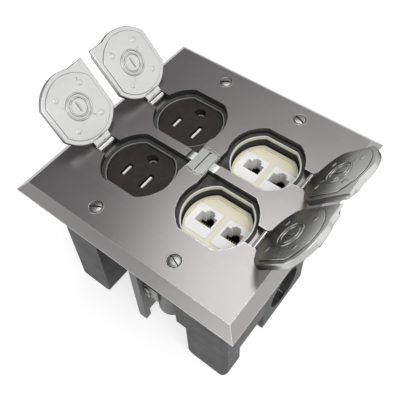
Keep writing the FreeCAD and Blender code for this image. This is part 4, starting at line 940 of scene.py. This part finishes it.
# Floor and surroundings; a fade has the value where it begins and the value where it is full
FLOOR_HALF = 3
FLOOR_GLOW = 0.7
UNDER_BOX_SIDES = (0.050, 0.042)
UNDER_BOX_FRONT = (-0.030, -0.018)
UNDER_BOX_BACK = (0.052, 0.044)
STUDIO_BRIGHT_SIDE = (0.75, 0.15, 0.6)
STUDIO_LEAN = (0.08, 0.55)
STUDIO_DIM = 0.12
STUDIO_BRIGHT = 1.0
STUDIO_WALL_TOP = 0.36
STUDIO_WALL_FADE = 0.5


def background_rays(tree):
    """1 for camera, glossy and transmission rays, which see the white background."""
    path = add_node(tree, "ShaderNodeLightPath")
    seen = math_node(tree, "MAXIMUM", path.outputs["Is Camera Ray"], path.outputs["Is Glossy Ray"])
    return math_node(tree, "MAXIMUM", seen, path.outputs["Is Transmission Ray"])


def shade_under_box(tree):
    """Mask of the floor inside the box, where the floor's glow is taken away as painted shade."""
    place = add_node(tree, "ShaderNodeSeparateXYZ")
    tree.links.new(add_node(tree, "ShaderNodeTexCoord").outputs["Object"], place.inputs[0])
    across = math_node(tree, "ABSOLUTE", place.outputs["X"])
    inside_x = spread(tree, across, *UNDER_BOX_SIDES)
    inside_front = spread(tree, place.outputs["Y"], *UNDER_BOX_FRONT)
    inside_back = spread(tree, place.outputs["Y"], *UNDER_BOX_BACK)
    return math_node(tree, "MULTIPLY", inside_x, math_node(tree, "MULTIPLY", inside_front, inside_back))


def add_floor():
    """Pale floor that is white to the camera, with painted shade under the box."""
    work = bmesh.new()
    bmesh.ops.create_grid(work, x_segments=1, y_segments=1, size=FLOOR_HALF)
    mesh = bpy.data.meshes.new("studio_floor")
    work.to_mesh(mesh)
    work.free()
    floor = mesh_object("studio_floor", mesh)
    material = bpy.data.materials.new("Pale studio floor")
    material.use_nodes = True
    tree = material.node_tree
    shader = tree.nodes["Principled BSDF"]
    shader.inputs["Base Color"].default_value = (0.5, 0.5, 0.5, 1)
    shader.inputs["Roughness"].default_value = 0.9
    shader.inputs["Specular IOR Level"].default_value = 0.1
    shader.inputs["Emission Color"].default_value = (1, 1, 1, 1)
    # Painted shade: no glow on the floor inside the box
    open_floor = math_node(tree, "SUBTRACT", 1.0, shade_under_box(tree))
    glow = math_node(tree, "MULTIPLY", background_rays(tree), open_floor)
    tree.links.new(math_node(tree, "MULTIPLY", glow, FLOOR_GLOW), shader.inputs["Emission Strength"])
    mesh.materials.append(material)


def add_world():
    """White round the horizon, and above it a plain ceiling that is brighter high on the right."""
    world = bpy.data.worlds.new("Studio")
    bpy.context.scene.world = world
    world.use_nodes = True
    tree = world.node_tree
    background = tree.nodes["Background"]
    way = add_node(tree, "ShaderNodeTexCoord").outputs["Generated"]
    lean = add_node(tree, "ShaderNodeVectorMath", operation="DOT_PRODUCT")
    lean.inputs[1].default_value = STUDIO_BRIGHT_SIDE
    tree.links.new(way, lean.inputs[0])
    ceiling = add_node(tree, "ShaderNodeMapRange", interpolation_type="SMOOTHSTEP")
    ceiling.inputs["From Min"].default_value = STUDIO_LEAN[0]
    ceiling.inputs["From Max"].default_value = STUDIO_LEAN[1]
    ceiling.inputs["To Min"].default_value = STUDIO_DIM
    ceiling.inputs["To Max"].default_value = STUDIO_BRIGHT
    tree.links.new(lean.outputs["Value"], ceiling.inputs["Value"])
    rise = add_node(tree, "ShaderNodeSeparateXYZ")
    tree.links.new(way, rise.inputs[0])
    horizon = spread(tree, rise.outputs["Z"], STUDIO_WALL_FADE, STUDIO_WALL_TOP)
    final = add_node(tree, "ShaderNodeMix", data_type="FLOAT")
    tree.links.new(math_node(tree, "MULTIPLY", background_rays(tree), horizon), final.inputs[0])
    tree.links.new(ceiling.outputs["Result"], final.inputs[2])
    final.inputs[3].default_value = 1.0
    background.inputs["Color"].default_value = (1, 1, 1, 1)
    tree.links.new(final.outputs[0], background.inputs["Strength"])


# Lamps: name, place, side of the square in metres, power in watts
LAMP_AIM = (0, 0, 0.07)
LAMPS = (
    ("right_softbox", (0.74, 0.42, 0.46), 0.8, 0.85),
    ("key_softbox", (0.55, -0.15, 0.8), 0.25, 1.8),
    ("front_softbox", (0.0, -0.95, 0.42), 0.5, 1.25),
    ("top_softbox", (-0.14, 0.31, 0.93), 0.4, 1.3),
)


def add_lamps():
    for name, place, side, power in LAMPS:
        data = bpy.data.lights.new(name, "AREA")
        data.shape = "SQUARE"
        data.size = side
        data.energy = power
        lamp = bpy.data.objects.new(name, data)
        bpy.context.scene.collection.objects.link(lamp)
        lamp.location = place
        toward = Vector(LAMP_AIM) - Vector(place)
        lamp.rotation_euler = toward.to_track_quat("-Z", "Y").to_euler()


def main():
    bpy.context.scene.view_settings.view_transform = "Standard"
    add_camera()
    dress_nodes()
    add_lids()
    add_screws()
    add_jack_port_shades()
    add_well_rims()
    add_lock_face()
    add_outlet_front()
    add_floor()
    add_world()
    add_lamps()


main()
